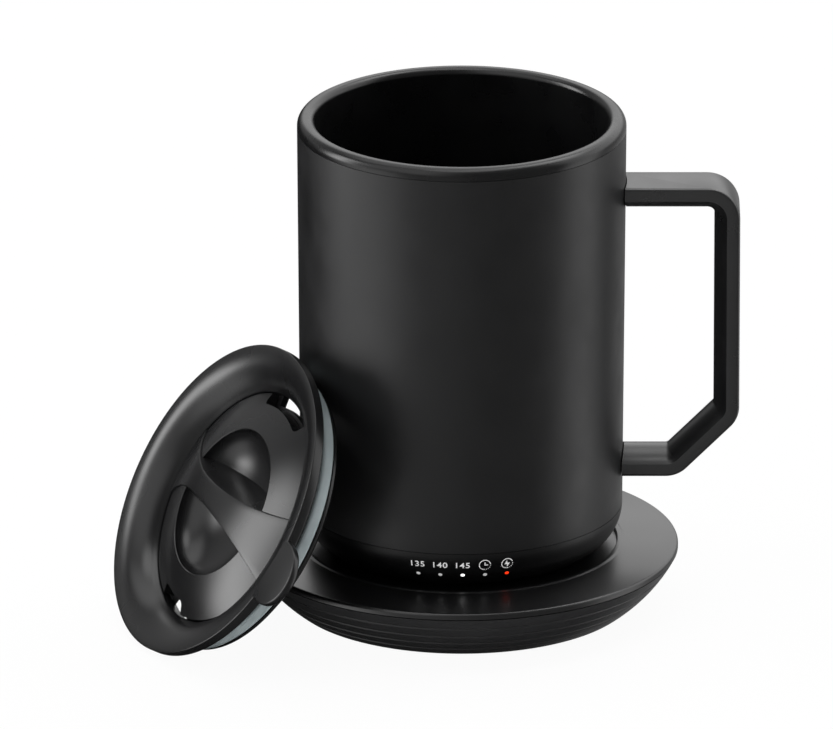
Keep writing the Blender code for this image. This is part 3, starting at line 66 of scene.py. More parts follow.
def addNode(tree, kind, inputs={}, **settings):
    # an input is a plain value, or the output of another node
    node = tree.nodes.new(kind)
    for name, value in settings.items():
        setattr(node, name, value)
    for socket, value in inputs.items():
        if isinstance(value, bpy.types.NodeSocket):
            tree.links.new(value, node.inputs[socket])
        else:
            node.inputs[socket].default_value = value
    return node


def workOut(tree, known, rows):
    # each row names a value, the operation, and the values or numbers that go in
    for name, operation, *parts in rows:
        given = [known[part] if isinstance(part, str) else part for part in parts]
        if operation == "SMOOTHSTEP":  # falls from 1 to 0 between the second value and the third
            inputs = dict(zip(("Value", "From Min", "From Max"), given))
            node = addNode(tree, "ShaderNodeMapRange", {**inputs, "To Min": 1.0, "To Max": 0.0},
                           interpolation_type=operation)
        else:
            node = addNode(tree, "ShaderNodeMath", dict(enumerate(given)), operation=operation)
        known[name] = node.outputs[0]


# Finishes

def newFinish(name, colour, roughness, metallic=0.0, specular=0.5):
    made = bpy.data.materials.new(name)
    made.use_nodes = True
    shader = made.node_tree.nodes["Principled BSDF"].inputs
    shader["Base Color"].default_value = hexColour(colour)
    shader["Roughness"].default_value = roughness
    shader["Metallic"].default_value = metallic
    shader["Specular IOR Level"].default_value = specular
    return made, made.node_tree, shader


def tint(tree, shader, pattern, stops):
    # base colour that follows a pattern from one shade to another
    ramp = addNode(tree, "ShaderNodeValToRGB", {"Fac": pattern})
    for stop, (position, shade) in zip(ramp.color_ramp.elements, stops):
        stop.position = position
        stop.color = hexColour(shade)
    tree.links.new(ramp.outputs["Color"], shader["Base Color"])


def grainyFinish(name, colour, lighter, roughness, grain, depth, specular=0.5, mottle=0.012):
    # grain is the size of the moulded or sprayed texture in metres, mottle the size of its slow drift
    made, tree, shader = newFinish(name, colour, roughness, specular=specular)
    place = addNode(tree, "ShaderNodeTexCoord").outputs["Object"]
    fine = addNode(tree, "ShaderNodeTexNoise", {"Vector": place, "Scale": 1 / grain, "Detail": 2.0,
                                                "Roughness": 0.6}).outputs["Fac"]
    slow = addNode(tree, "ShaderNodeTexNoise", {"Vector": place, "Scale": 1 / mottle, "Detail": 3.0,
                                                "Roughness": 0.55}).outputs["Fac"]
    both = addNode(tree, "ShaderNodeMath", {0: fine, 1: slow}, operation="MULTIPLY")
    tint(tree, shader, both.outputs[0], ((0.12, colour), (0.45, lighter)))
    spread = addNode(tree, "ShaderNodeMapRange", {"Value": slow, "From Min": 0.3, "From Max": 0.7,
                                                  "To Min": roughness - 0.04, "To Max": roughness + 0.05})
    tree.links.new(spread.outputs["Result"], shader["Roughness"])
    bump = addNode(tree, "ShaderNodeBump", {"Height": fine, "Strength": 1.0, "Distance": depth})
    tree.links.new(bump.outputs["Normal"], shader["Normal"])
    return made


def brushedFinish(name, colour, roughness, line):
    # metal drawn or turned: fine lines along one way, and a roughness that follows them
    made, tree, shader = newFinish(name, colour, roughness, metallic=1.0)
    place = addNode(tree, "ShaderNodeTexCoord").outputs["Object"]
    drawn = addNode(tree, "ShaderNodeMapping", {"Vector": place, "Scale": (1.0, 1.0, 0.05)})
    lines = addNode(tree, "ShaderNodeTexNoise", {"Vector": drawn.outputs["Vector"], "Scale": 1 / line,
                                                 "Detail": 3.0}).outputs["Fac"]
    spread = addNode(tree, "ShaderNodeMapRange", {"Value": lines, "To Min": roughness - 0.08,
                                                  "To Max": roughness + 0.1})
    tree.links.new(spread.outputs["Result"], shader["Roughness"])
    bump = addNode(tree, "ShaderNodeBump", {"Height": lines, "Strength": 0.4, "Distance": line * 0.1})
    tree.links.new(bump.outputs["Normal"], shader["Normal"])
    return made


def siliconeFinish(name, colour, deeper, patches=90.0):
    # translucent silicone rubber: light goes a little way in, the skin is satin; cloudy patches of 11 mm
    made, tree, shader = newFinish(name, colour, 0.42, specular=0.4)
    place = addNode(tree, "ShaderNodeTexCoord").outputs["Object"]
    cloud = addNode(tree, "ShaderNodeTexNoise", {"Vector": place, "Scale": patches, "Detail": 2.0})
    tint(tree, shader, cloud.outputs["Fac"], ((0.3, deeper), (0.75, colour)))
    shader["Subsurface Weight"].default_value = 0.25
    shader["Subsurface Radius"].default_value = (1.0, 1.0, 1.0)
    shader["Subsurface Scale"].default_value = 0.0015
    return made


def lampFinish(name, colour, strength):
    # clear polycarbonate light guide, lit from behind, a little dimmer towards its edge
    made, tree, shader = newFinish(name, colour, 0.25)
    facing = addNode(tree, "ShaderNodeLayerWeight", {"Blend": 0.35}).outputs["Facing"]
    fade = addNode(tree, "ShaderNodeMapRange", {"Value": facing, "To Min": strength,
                                                "To Max": strength * 0.6})
    shader["Emission Color"].default_value = hexColour(colour)
    tree.links.new(fade.outputs["Result"], shader["Emission Strength"])
    return made


def boardFinish(name, rows=160.0):
    # glass-epoxy board under green solder mask, with rows of copper tracks 6 mm apart showing through it
    made, tree, shader = newFinish(name, "#0c3a1c", 0.4)
    place = addNode(tree, "ShaderNodeTexCoord").outputs["Object"]
    tracks = addNode(tree, "ShaderNodeTexBrick", {
        "Vector": place, "Scale": rows, "Mortar Size": 0.06, "Color1": hexColour("#0b3519"),
        "Color2": hexColour("#0e4221"), "Mortar": hexColour("#2c6a3a")})
    tree.links.new(tracks.outputs["Color"], shader["Base Color"])
    return made


finishes = {
    # powder-coated steel: fine orange peel that breaks up highlights, no sharp reflection
    "powderCoat": grainyFinish("powder coated steel", "#131314", "#19191a", 0.4, 0.00045, 0.000008),
    # ceramic-coated steel: smoother than the outside, nearly black in the bore
    "ceramicCoat": grainyFinish("ceramic coated liner", "#0a0a0b", "#0f0f10", 0.28, 0.0006, 0.000003, 0.46),
    # ABS handle with a fine spark-eroded mould texture
    "handleAbs": grainyFinish("spark eroded ABS", "#161617", "#1c1c1d", 0.3, 0.0004, 0.000004, 0.95),
    # satin ABS of the base cap
    "capAbs": grainyFinish("satin moulded ABS", "#0a0a0b", "#0e0e0f", 0.38, 0.0005, 0.000006, 0.42),
    # polished ABS cover: clear but soft reflections
    "coverAbs": grainyFinish("polished ABS", "#0d0d0e", "#0f0f10", 0.3, 0.005, 0.0000004, 0.74, 0.08),
    # ribbed ABS under the edge, duller than the cover; its base colour is lifted well above the cover's as
    # painted light, standing in for light bounced up from the floor
    "bowlAbsPaintedBounce": grainyFinish("ribbed ABS", "#272728", "#2f2f30", 0.4, 0.0005, 0.000006),
    # polypropylene lid: waxy sheen with a faint flow pattern
    "lidPolypropylene": grainyFinish("moulded polypropylene", "#131314", "#171718", 0.26, 0.0005, 0.000002,
                                     0.5, 0.05),
    "footRubber": grainyFinish("matt rubber", "#0c0c0c", "#141414", 0.8, 0.0008, 0.00003, 0.3),
    "innerNylon": grainyFinish("moulded nylon", "#2a2a2c", "#343436", 0.5, 0.0005, 0.00001),
    "sealSilicone": siliconeFinish("dark silicone", "#3c3c40", "#2c2c30"),
    "gasketSilicone": siliconeFinish("clear grey silicone", "#b4bfc1", "#a2adb0"),
    "whiteLamp": lampFinish("white light guide", "#d8d8d8", 0.45),
    "brightLamp": lampFinish("bright light guide", "#ffffff", 1.6),
    "redLamp": lampFinish("red light guide", "#ff3a14", 1.1),
    # white print on the cap, given a faint emission: a painted glow, as the printed marks hold no lamp
    "paintedGlowInk": lampFinish("white print with painted glow", "#e8e8e8", 0.35),
    "goldPlate": brushedFinish("gold plated brass", "#d9b25a", 0.28, 0.0002),
    "turnedBrass": brushedFinish("turned brass", "#b5924a", 0.35, 0.0002),
    "steel": brushedFinish("zinc plated steel", "#9c9ea1", 0.38, 0.0003),
    "aluminium": brushedFinish("rolled aluminium", "#cfd1d3", 0.35, 0.0003),
    "circuitBoard": boardFinish("green circuit board"),
    "cellSleeve": grainyFinish("blue shrink sleeve", "#163f7a", "#1c4a8c", 0.35, 0.002, 0.00001),
    "heaterFilm": grainyFinish("polyimide film", "#a35a12", "#b8681a", 0.35, 0.003, 0.000005),
    "felt": grainyFinish("felted fibre", "#b5b0a3", "#cfcabd", 0.9, 0.0006, 0.0001, 0.2),
}
print("finishes made", len(finishes))


# Shared shape helpers

# sides of the turned shapes
facets = {"large": 256, "middle": 192, "block": 128, "socket": 64, "pin": 48, "lens": 32}
# a corner this straight gets no fillet; a fillet turns this far at each step, within this share of a side
bends = {"straight": math.radians(176), "facet": math.radians(18), "mostOfSide": 0.49}


def spaced(start, end, steps):
    return [start + (end - start) * i / steps for i in range(steps + 1)]


def arcPoint(centre, radius, angle):
    return centre[0] + radius * math.cos(angle), centre[1] + radius * math.sin(angle)


def arcPoints(centre, radius, start, end, steps):
    return [arcPoint(centre, radius, angle) for angle in spaced(start, end, steps)]


def isLoop(profile):
    return profile[0][0] > onAxis or profile[-1][0] > onAxis


def softProfile(corners, closed=False):
    # corners are (radius, height, fillet); each fillet becomes an arc that touches both sides
    points = []
    count = len(corners)
    for i, corner in enumerate(corners):
        here = Vector(corner[:2])
        fillet = corner[2] if len(corner) > 2 else 0
        if fillet == 0 or (not closed and i in (0, count - 1)):
            points.append(tuple(here))
            continue
        before = Vector(corners[i - 1][:2]) - here
        after = Vector(corners[(i + 1) % count][:2]) - here
        opening = before.angle(after)
        if opening > bends["straight"]:
            points.append(tuple(here))
            continue
        longest = min(before.length, after.length) * bends["mostOfSide"]
        reach = min(fillet / math.tan(opening / 2), longest)
        radius = reach * math.tan(opening / 2)
        inward = (before.normalized() + after.normalized()).normalized()
        start = here + before.normalized() * reach
        end = here + after.normalized() * reach
        middle = here + inward * radius / math.sin(opening / 2)
        first = math.atan2(start.y - middle.y, start.x - middle.x)
        swing = math.atan2(end.y - middle.y, end.x - middle.x) - first
        swing = (swing + math.pi) % (2 * math.pi) - math.pi
        points += arcPoints(middle, radius, first, first + swing, max(2, round(abs(swing) / bends["facet"])))
    return points


def joinRings(bm, rings):
    for low, high in zip(rings, rings[1:]):
        for i in range(len(low)):
            j = (i + 1) % len(low)
            corners = list(dict.fromkeys((low[i], low[j], high[j], high[i])))
            if len(corners) > 2:
                bm.faces.new(corners)


def addTurned(bm, profile, steps, place=Matrix.Identity(4), strip=False):
    # rings of the profile round the axis of place; a point on the axis becomes one vertex
    rings = []
    for radius, height in profile:
        if radius < onAxis:
            rings.append([bm.verts.new(place @ Vector((0, 0, height)))] * steps)
            continue
        circle = arcPoints((0, 0), radius, 0, 2 * math.pi, steps)[:-1]
        rings.append([bm.verts.new(place @ Vector((x, y, height))) for x, y in circle])
    if isLoop(profile) and not strip:
        rings.append(rings[0])
    joinRings(bm, rings)


def addLoft(bm, rings):
    loops = [[bm.verts.new(point) for point in ring] for ring in rings]
    joinRings(bm, loops)
    bm.faces.new(list(reversed(loops[0])))
    bm.faces.new(loops[-1])


def addObject(name, data):
    made = bpy.data.objects.new(name, data)
    bpy.context.scene.collection.objects.link(made)
    return made


def smoothMesh(mesh, sharp=32):
    # smooth, apart from edges that turn by more than this many degrees
    mesh.shade_smooth()
    mesh.set_sharp_from_angle(angle=math.radians(sharp))


def evaluatedMesh(thing):
    depsgraph = bpy.context.evaluated_depsgraph_get()
    return bpy.data.meshes.new_from_object(thing.evaluated_get(depsgraph), depsgraph=depsgraph)


def meshPiece(name, bm, finish=None, sharp=32):
    bmesh.ops.remove_doubles(bm, verts=bm.verts, dist=weld)
    bmesh.ops.recalc_face_normals(bm, faces=bm.faces)
    mesh = bpy.data.meshes.new(name)
    bm.to_mesh(mesh)
    bm.free()
    smoothMesh(mesh, sharp)
    if finish:
        mesh.materials.append(finishes[finish])
    return addObject(name, mesh)


def turnedPiece(name, corners, finish, steps, place=Matrix.Identity(4)):
    bm = bmesh.new()
    addTurned(bm, softProfile(corners, isLoop(corners)), steps, place)
    return meshPiece(name, bm, finish)


def carve(piece, bm, operation="DIFFERENCE"):
    tool = meshPiece(piece.name + " tool", bm)
    step = piece.modifiers.new("carve", "BOOLEAN")
    step.operation = operation
    step.solver = "EXACT"
    step.object = tool
    mesh = evaluatedMesh(piece)
    piece.modifiers.clear()
    piece.data = mesh
    smoothMesh(mesh)
    bpy.data.objects.remove(tool, do_unlink=True)


def settle(piece, body, slot, *replaced):
    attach(piece, body)
    if replaced:
        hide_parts(*replaced)


# Node trees for shapes

def newShapeTree(name, inputs):
    tree = bpy.data.node_groups.new(name, "GeometryNodeTree")
    for word, kind in {"Geometry": "Geometry", **inputs}.items():
        tree.interface.new_socket(word, in_out="INPUT", socket_type="NodeSocket" + kind)
    tree.interface.new_socket("Geometry", in_out="OUTPUT", socket_type="NodeSocketGeometry")
    return tree, dict(addNode(tree, "NodeGroupInput").outputs.items())


def endShapeTree(tree, shape, finish):
    real = addNode(tree, "GeometryNodeRealizeInstances", {"Geometry": shape})
    dressed = addNode(tree, "GeometryNodeSetMaterial", {"Geometry": real.outputs["Geometry"],
                                                        "Material": finish})
    addNode(tree, "NodeGroupOutput", {"Geometry": dressed.outputs["Geometry"]})
    return tree


def grown(name, tree, inputs):
    # object made wholly by a node tree, as a plain mesh
    carrier = addObject(name, bpy.data.meshes.new(name))
    step = carrier.modifiers.new(name, "NODES")
    step.node_group = tree
    for item in tree.interface.items_tree:
        if item.in_out == "INPUT" and item.name in inputs:
            step[item.identifier] = inputs[item.name]
    mesh = evaluatedMesh(carrier)
    bpy.data.objects.remove(carrier, do_unlink=True)
    return mesh


# Mug

mugSizes = millimetres(foot=16.3, top=139.5, radius=45.0, lowerRadius=44.2, wall=0.8, rim=3.3, seam=0.3,
                       seamShown=0.1, rimOuter=2.4, rimInner=1.8, spigot=2.2, spigotGap=0.3, bore=40.2,
                       linerWall=0.8, depth=81.0, corner=8.0, capRound=12.0, edge=0.06)
mugSizes["rimLow"] = mugSizes["top"] - mugSizes["rim"]
mugSizes["capTop"] = mugSizes["foot"] + mugSizes["capRound"]


def makeMugShell():
    m = mugSizes
    low = m["capTop"] + m["seamShown"]
    corners = [(m["lowerRadius"], low, m["edge"]), (m["radius"], m["rimLow"], m["edge"]),
               (m["radius"] - m["wall"], m["rimLow"]), (m["lowerRadius"] - m["wall"], low)]
    piece = turnedPiece("mugShell", corners, "powderCoat", facets["large"])
    settle(piece, "mug", "powder_coat", "mug_outer_shell")


def makeLiner():
    m = mugSizes
    inside = m["top"] - m["depth"]
    underRim = m["rimLow"] + m["seamShown"]
    spigot = m["radius"] - m["wall"] - m["spigotGap"]
    outer = m["bore"] + m["linerWall"]
    middle = (m["bore"] - m["corner"], inside + m["corner"])
    innerRim = (m["bore"] + m["rimInner"], m["top"] - m["rimInner"])
    outerRim = (m["radius"] - m["rimOuter"], m["top"] - m["rimOuter"])
    profile = [(0, inside)]
    profile += arcPoints(middle, m["corner"], -quarter, 0, 10)
    profile += arcPoints(innerRim, m["rimInner"], math.pi, quarter, 10)
    profile += arcPoints(outerRim, m["rimOuter"], quarter, 0, 12)
    profile += softProfile([(m["radius"], outerRim[1]), (m["radius"], underRim, m["edge"]),
                            (spigot, underRim)])[1:]
    profile += [(spigot, underRim - m["spigot"]), (outer, underRim - m["spigot"])]
    profile += arcPoints(middle, m["corner"] + m["linerWall"], 0, -quarter, 8)
    profile.append((0, inside - m["linerWall"]))
    bm = bmesh.new()
    addTurned(bm, profile, facets["large"])
    piece = meshPiece("mugLiner", bm, "ceramicCoat")
    settle(piece, "mug", "liner_coat", "mug_liner")


handleSizes = millimetres(width=15.0, depth=7.0, side=3.6, edge=0.9, reach=76.1, top=121.1, bottom=37.5,
                          slant=16.8, topRound=9.0, lowerRound=8.0, inset=0.3)


def roundedPath(corners, rounds, steps):
    # places and directions along straight runs whose corners are arcs
    path = [(corners[0], (corners[1] - corners[0]).normalized())]
    for before, corner, after, radius in zip(corners, corners[1:], corners[2:], rounds):
        into = (corner - before).normalized()
        turn = into.angle((after - corner).normalized())
        pivot = corner - into * radius * math.tan(turn / 2) + Vector((into.y, -into.x)) * radius
        for i in range(steps + 1):
            swing = Matrix.Rotation(-turn * i / steps, 2)
            path.append((pivot - swing @ Vector((into.y, -into.x)) * radius, swing @ into))
    path.append((corners[-1], (corners[-1] - corners[-2]).normalized()))
    return path


def makeHandle():
    m, h = mugSizes, handleSizes
    start = m["lowerRadius"] - h["depth"]
    corners = [Vector(p) for p in (
        (start, h["top"]), (h["reach"], h["top"]), (h["reach"], h["bottom"] + h["slant"]),
        (h["reach"] - h["slant"], h["bottom"]), (start, h["bottom"]))]
    rounds = (h["topRound"], h["lowerRound"], h["lowerRound"])
    half = h["width"] / 2
    belly = h["depth"] - h["side"]
    bellyRadius = (half ** 2 + belly ** 2) / (2 * belly)
    spread = math.asin(half / bellyRadius)
    section = arcPoints((h["edge"], half - h["edge"]), h["edge"], quarter, math.pi, 5)
    section += arcPoints((h["edge"], h["edge"] - half), h["edge"], math.pi, 3 * quarter, 5)
    section += arcPoints((h["depth"] - bellyRadius, 0), bellyRadius, -spread, spread, 20)
    bm = bmesh.new()
    addLoft(bm, [[(place.x + way.y * depth, across, place.y - way.x * depth) for depth, across in section]
                 for place, way in roundedPath(corners, rounds, 18)])
    piece = meshPiece("mugHandle", bm, "handleAbs")
    room = bmesh.new()
    low = m["capTop"] + m["seam"]
    addTurned(room, [(0, low - m["capRound"]), (m["lowerRadius"] + h["inset"], low),
                     (m["radius"] + h["inset"], m["rimLow"]), (0, m["top"])], facets["large"])
    carve(piece, room)
    settle(piece, "mug", "handle_plastic", "mug_handle")


capSizes = millimetres(wall=2.4, floor=3.7, spigotWall=2.6, spigotHeight=4.9, ledgeRadius=25.0,
                       holeRadius=28.0, ledge=2.0, ringInner=28.5, ringOuter=31.5, ringHeight=1.5,
                       lensRadius=0.55, lensFit=0.08, lensCrown=0.12, lensHeight=21.6)
indicatorRow = {"step": math.radians(8.33), "offset": math.radians(0.35), "count": 5}


def rowAzimuth(row, index):
    return row["offset"] + row["step"] * (index - (indicatorRow["count"] - 1) / 2)


def capPoint(azimuth, angle, lift):
    # place on the cap's rounded edge: azimuth from the front, angle up from its widest line
    m = mugSizes
    radius = m["lowerRadius"] - m["capRound"] + (m["capRound"] + lift) * math.cos(angle)
    height = m["capTop"] + (m["capRound"] + lift) * math.sin(angle)
    return Vector((*arcPoint((0, 0), radius, azimuth - quarter), height))


def lensPlace(index):
    azimuth = rowAzimuth(indicatorRow, index)
    angle = math.asin((capSizes["lensHeight"] - mugSizes["capTop"]) / mugSizes["capRound"])
    foot = capPoint(azimuth, angle, 0)
    outward = (capPoint(azimuth, angle, mugSizes["capRound"]) - foot).normalized()
    return Matrix.Translation(foot) @ outward.to_track_quat("Z", "Y").to_matrix().to_4x4()


def makeBaseCap():
    m, c = mugSizes, capSizes
    middle = (m["lowerRadius"] - m["capRound"], m["capTop"])
    inner = m["capRound"] - c["wall"]
    inside = m["foot"] + c["floor"]
    ledge, ring = m["foot"] + c["ledge"], m["foot"] + c["ringHeight"]
    spigot = m["lowerRadius"] - m["wall"] - m["spigotGap"]
    spigotTop = m["capTop"] + c["spigotHeight"]
    profile = arcPoints(middle, m["capRound"], -quarter, 0, 24)
    profile += [(spigot, m["capTop"]), (spigot, spigotTop), (spigot - c["spigotWall"], spigotTop)]
    profile += arcPoints(middle, inner, 0, math.asin((inside - m["capTop"]) / inner), 8)
    profile += [(c["ledgeRadius"], inside), (c["ledgeRadius"], ledge), (c["holeRadius"], ledge),
                (c["holeRadius"], m["foot"]), (c["ringInner"], m["foot"]), (c["ringInner"], ring),
                (c["ringOuter"], ring), (c["ringOuter"], m["foot"])]
    bm = bmesh.new()
    addTurned(bm, profile, facets["large"])
    piece = meshPiece("mugBaseCap", bm, "capAbs")
    holes = bmesh.new()
    hole = c["lensRadius"] + c["lensFit"]
    for index in range(indicatorRow["count"]):
        addTurned(holes, [(0, -c["wall"] * 2), (hole, -c["wall"] * 2), (hole, c["wall"]), (0, c["wall"])],
                  facets["lens"], lensPlace(index))
    carve(piece, holes)
    settle(piece, "mug", "cap_plastic", "mug_base_cap")


def makeLenses():
    c = capSizes
    lamps = [("low", "whiteLamp", "white_lens"), ("mid", "whiteLamp", "white_lens"),
             ("high", "brightLamp", "white_lens"), ("timer", "whiteLamp", "white_lens"),
             ("charge", "redLamp", "red_lens")]
    dome = [(x * c["lensRadius"], y * c["lensCrown"]) for x, y in arcPoints((0, 0), 1, 0, quarter, 6)[:-1]]
    for index, (word, finish, slot) in enumerate(lamps):
        bm = bmesh.new()
        addTurned(bm, [(0, -c["wall"]), (c["lensRadius"], -c["wall"]), *dome, (0, c["lensCrown"])],
                  facets["lens"], lensPlace(index))
        piece = meshPiece("lens_" + word, bm, finish)
        settle(piece, "mug", slot, "indicator_lens_" + word)


labelSizes = millimetres(height=1.75, ring=1.56, ringLine=0.22, lift=0.03, strip=0.25, handLine=0.27,
                         bold=0.03, rowHeight=25.0)
labelRow = {"angle": math.asin((labelSizes["rowHeight"] - mugSizes["capTop"]) / mugSizes["capRound"]),
            "step": math.radians(8.17), "offset": math.radians(0.15)}
lettering = {"capShare": 0.7, "spacing": 1.1, "stretch": 1.12, "sharp": 60}
# a sign's place in the row and the turn of its ring; the ring is one long arc, and short dashes that close it
signs = {"clock": (3, math.radians(8)), "bolt": (4, math.radians(22))}
ringArcs = [{"Dashes": 1, "Shown": 1, "Fill": 0.74}, {"Dashes": 18, "Shown": 4, "Fill": 0.4}]
# the marks inside the rings, in shares of their radius
signShape = {"dashTurn": math.radians(84), "hand": 0.55,
             "bolt": [(-0.1, 0.74), (-0.5, -0.14), (-0.06, -0.14), (0.04, -0.76), (0.48, 0.16), (0.04, 0.16)]}


def wrapLabel(name, bm, index):
    # cut a flat label into strips, then lay it on the cap's round
    s = labelSizes
    for axis, normal in enumerate((Vector((1, 0, 0)), Vector((0, 1, 0)))):
        low = min(v.co[axis] for v in bm.verts)
        high = max(v.co[axis] for v in bm.verts)
        for i in range(1, int((high - low) / s["strip"]) + 1):
            bmesh.ops.bisect_plane(bm, geom=bm.verts[:] + bm.edges[:] + bm.faces[:],
                                   plane_co=normal * (low + s["strip"] * i), plane_no=normal)
    azimuth = rowAzimuth(labelRow, index)
    radius = capPoint(0, labelRow["angle"], 0).xy.length
    for vertex in bm.verts:
        across, up, lift = vertex.co
        angle = labelRow["angle"] + up / mugSizes["capRound"]
        vertex.co = capPoint(azimuth + across / radius, angle, lift)
    # the marks take the white print finish with its painted glow
    piece = meshPiece(name, bm, "paintedGlowInk", lettering["sharp"])
    settle(piece, "mug", "white_lens")


def labelFromText(name, words, index):
    curve = bpy.data.curves.new(name, "FONT")
    curve.body = words
    curve.align_x = "CENTER"
    curve.align_y = "CENTER"
    curve.size = labelSizes["height"] / lettering["capShare"]
    curve.extrude = labelSizes["lift"]
    curve.offset = labelSizes["bold"]
    curve.space_character = lettering["spacing"]
    written = addObject(name, curve)
    bm = bmesh.new()
    bm.from_mesh(evaluatedMesh(written))
    bpy.data.objects.remove(written, do_unlink=True)
    bmesh.ops.remove_doubles(bm, verts=bm.verts, dist=weld)
    middle = (min(v.co.y for v in bm.verts) + max(v.co.y for v in bm.verts)) / 2
    bmesh.ops.translate(bm, verts=bm.verts, vec=(0, -middle, 0))
    bmesh.ops.scale(bm, verts=bm.verts, vec=(lettering["stretch"], 1, 1))
    wrapLabel(name, bm, index)


def dashTree():
    # ring of dashes: a bar bent round the circle for each dash shown, set out evenly
    tree, known = newShapeTree("dashed ring", {
        "Radius": "Float", "Line": "Float", "Height": "Float", "Dashes": "Int", "Shown": "Int",
        "Fill": "Float", "Turn": "Float", "Ink": "Material"})
    known["number"] = addNode(tree, "GeometryNodeInputIndex").outputs[0]
    workOut(tree, known, [("whole", "DIVIDE", 2 * math.pi, "Dashes"), ("sweep", "MULTIPLY", "whole", "Fill"),
                          ("swing", "MULTIPLY_ADD", "number", "whole", "Turn")])
    arc = addNode(tree, "GeometryNodeCurveArc", {"Resolution": 14, "Radius": known["Radius"],
                                                 "Sweep Angle": known["sweep"]})
    bar = addNode(tree, "GeometryNodeCurvePrimitiveQuadrilateral", {"Width": known["Line"],
                                                                    "Height": known["Height"]})
    dash = addNode(tree, "GeometryNodeCurveToMesh", {
        "Curve": arc.outputs["Curve"], "Profile Curve": bar.outputs["Curve"], "Fill Caps": True})
    spots = addNode(tree, "GeometryNodePoints", {"Count": known["Shown"]})
    aim = addNode(tree, "ShaderNodeCombineXYZ", {"Z": known["swing"]})
    placed = addNode(tree, "GeometryNodeInstanceOnPoints", {
        "Points": spots.outputs[0], "Instance": dash.outputs["Mesh"], "Rotation": aim.outputs[0]})
    return endShapeTree(tree, placed.outputs["Instances"], known["Ink"])


def makeLabels():
    for index, words in enumerate(("135", "140", "145")):
        labelFromText("label_" + words, words, index)
    s = labelSizes
    half, reach = s["handLine"] / 2, s["ring"] * signShape["hand"]
    plates = {"clock": [(-half, -half), (-half, reach), (half, reach), (half, half), (reach, half),
                        (reach, -half)],
              "bolt": [(x * s["ring"], y * s["ring"]) for x, y in signShape["bolt"]]}
    tree = dashTree()
    for word, (index, turn) in signs.items():
        bm = bmesh.new()
        for arc, start in zip(ringArcs, (turn, turn - signShape["dashTurn"])):
            bm.from_mesh(grown("ring", tree, {
                "Radius": s["ring"], "Line": s["ringLine"], "Height": 2 * s["lift"], "Turn": start,
                "Ink": finishes["paintedGlowInk"], **arc}))
        addLoft(bm, [[(x, y, side * s["lift"]) for x, y in plates[word]] for side in (-1, 1)])
        wrapLabel("label_" + word, bm, index)


makeMugShell()
makeLiner()
makeHandle()
makeBaseCap()
makeLenses()
makeLabels()
print("mug made")


# Coaster

# soft is the round of small edges; sew and join are the gaps that close along the bowl's seams
coasterSizes = millimetres(radius=59.6, edge=15.0, baseRadius=47.2, base=0.6, bowlArc=41.6, wall=2.2,
                           floor=1.7, grooveDepth=0.35, grooveWidth=0.8, footRadius=43.0, foot=1.2, gap=0.3,
                           round=1.6, crown=0.5, cover=2.0, ringRise=0.3, ringRadius=44.4, ringWidth=1.6,
                           seat=16.0, skirtRadius=55.2, skirtWidth=2.0, skirtDepth=2.5, block=13.0,
                           blockFlange=2.0, blockLow=6.9, ringFoot=0.6, ringLip=0.5, soft=0.3, holeEdge=0.2,
                           sew=0.001, join=0.002)
bowlGrid = {"grooves": 4, "along": 121}


def bowlCurve():
    # middle of the arc from the foot to the edge, and the angle at which it starts
    c = coasterSizes
    low = Vector((c["baseRadius"], c["base"]))
    high = Vector((c["radius"], c["edge"]))
    across = Vector((low.y - high.y, high.x - low.x)).normalized()
    reach = math.sqrt(c["bowlArc"] ** 2 - ((high - low).length / 2) ** 2)
    centre = (low + high) / 2 + across * reach
    return centre, math.asin((low.y - centre.y) / c["bowlArc"])


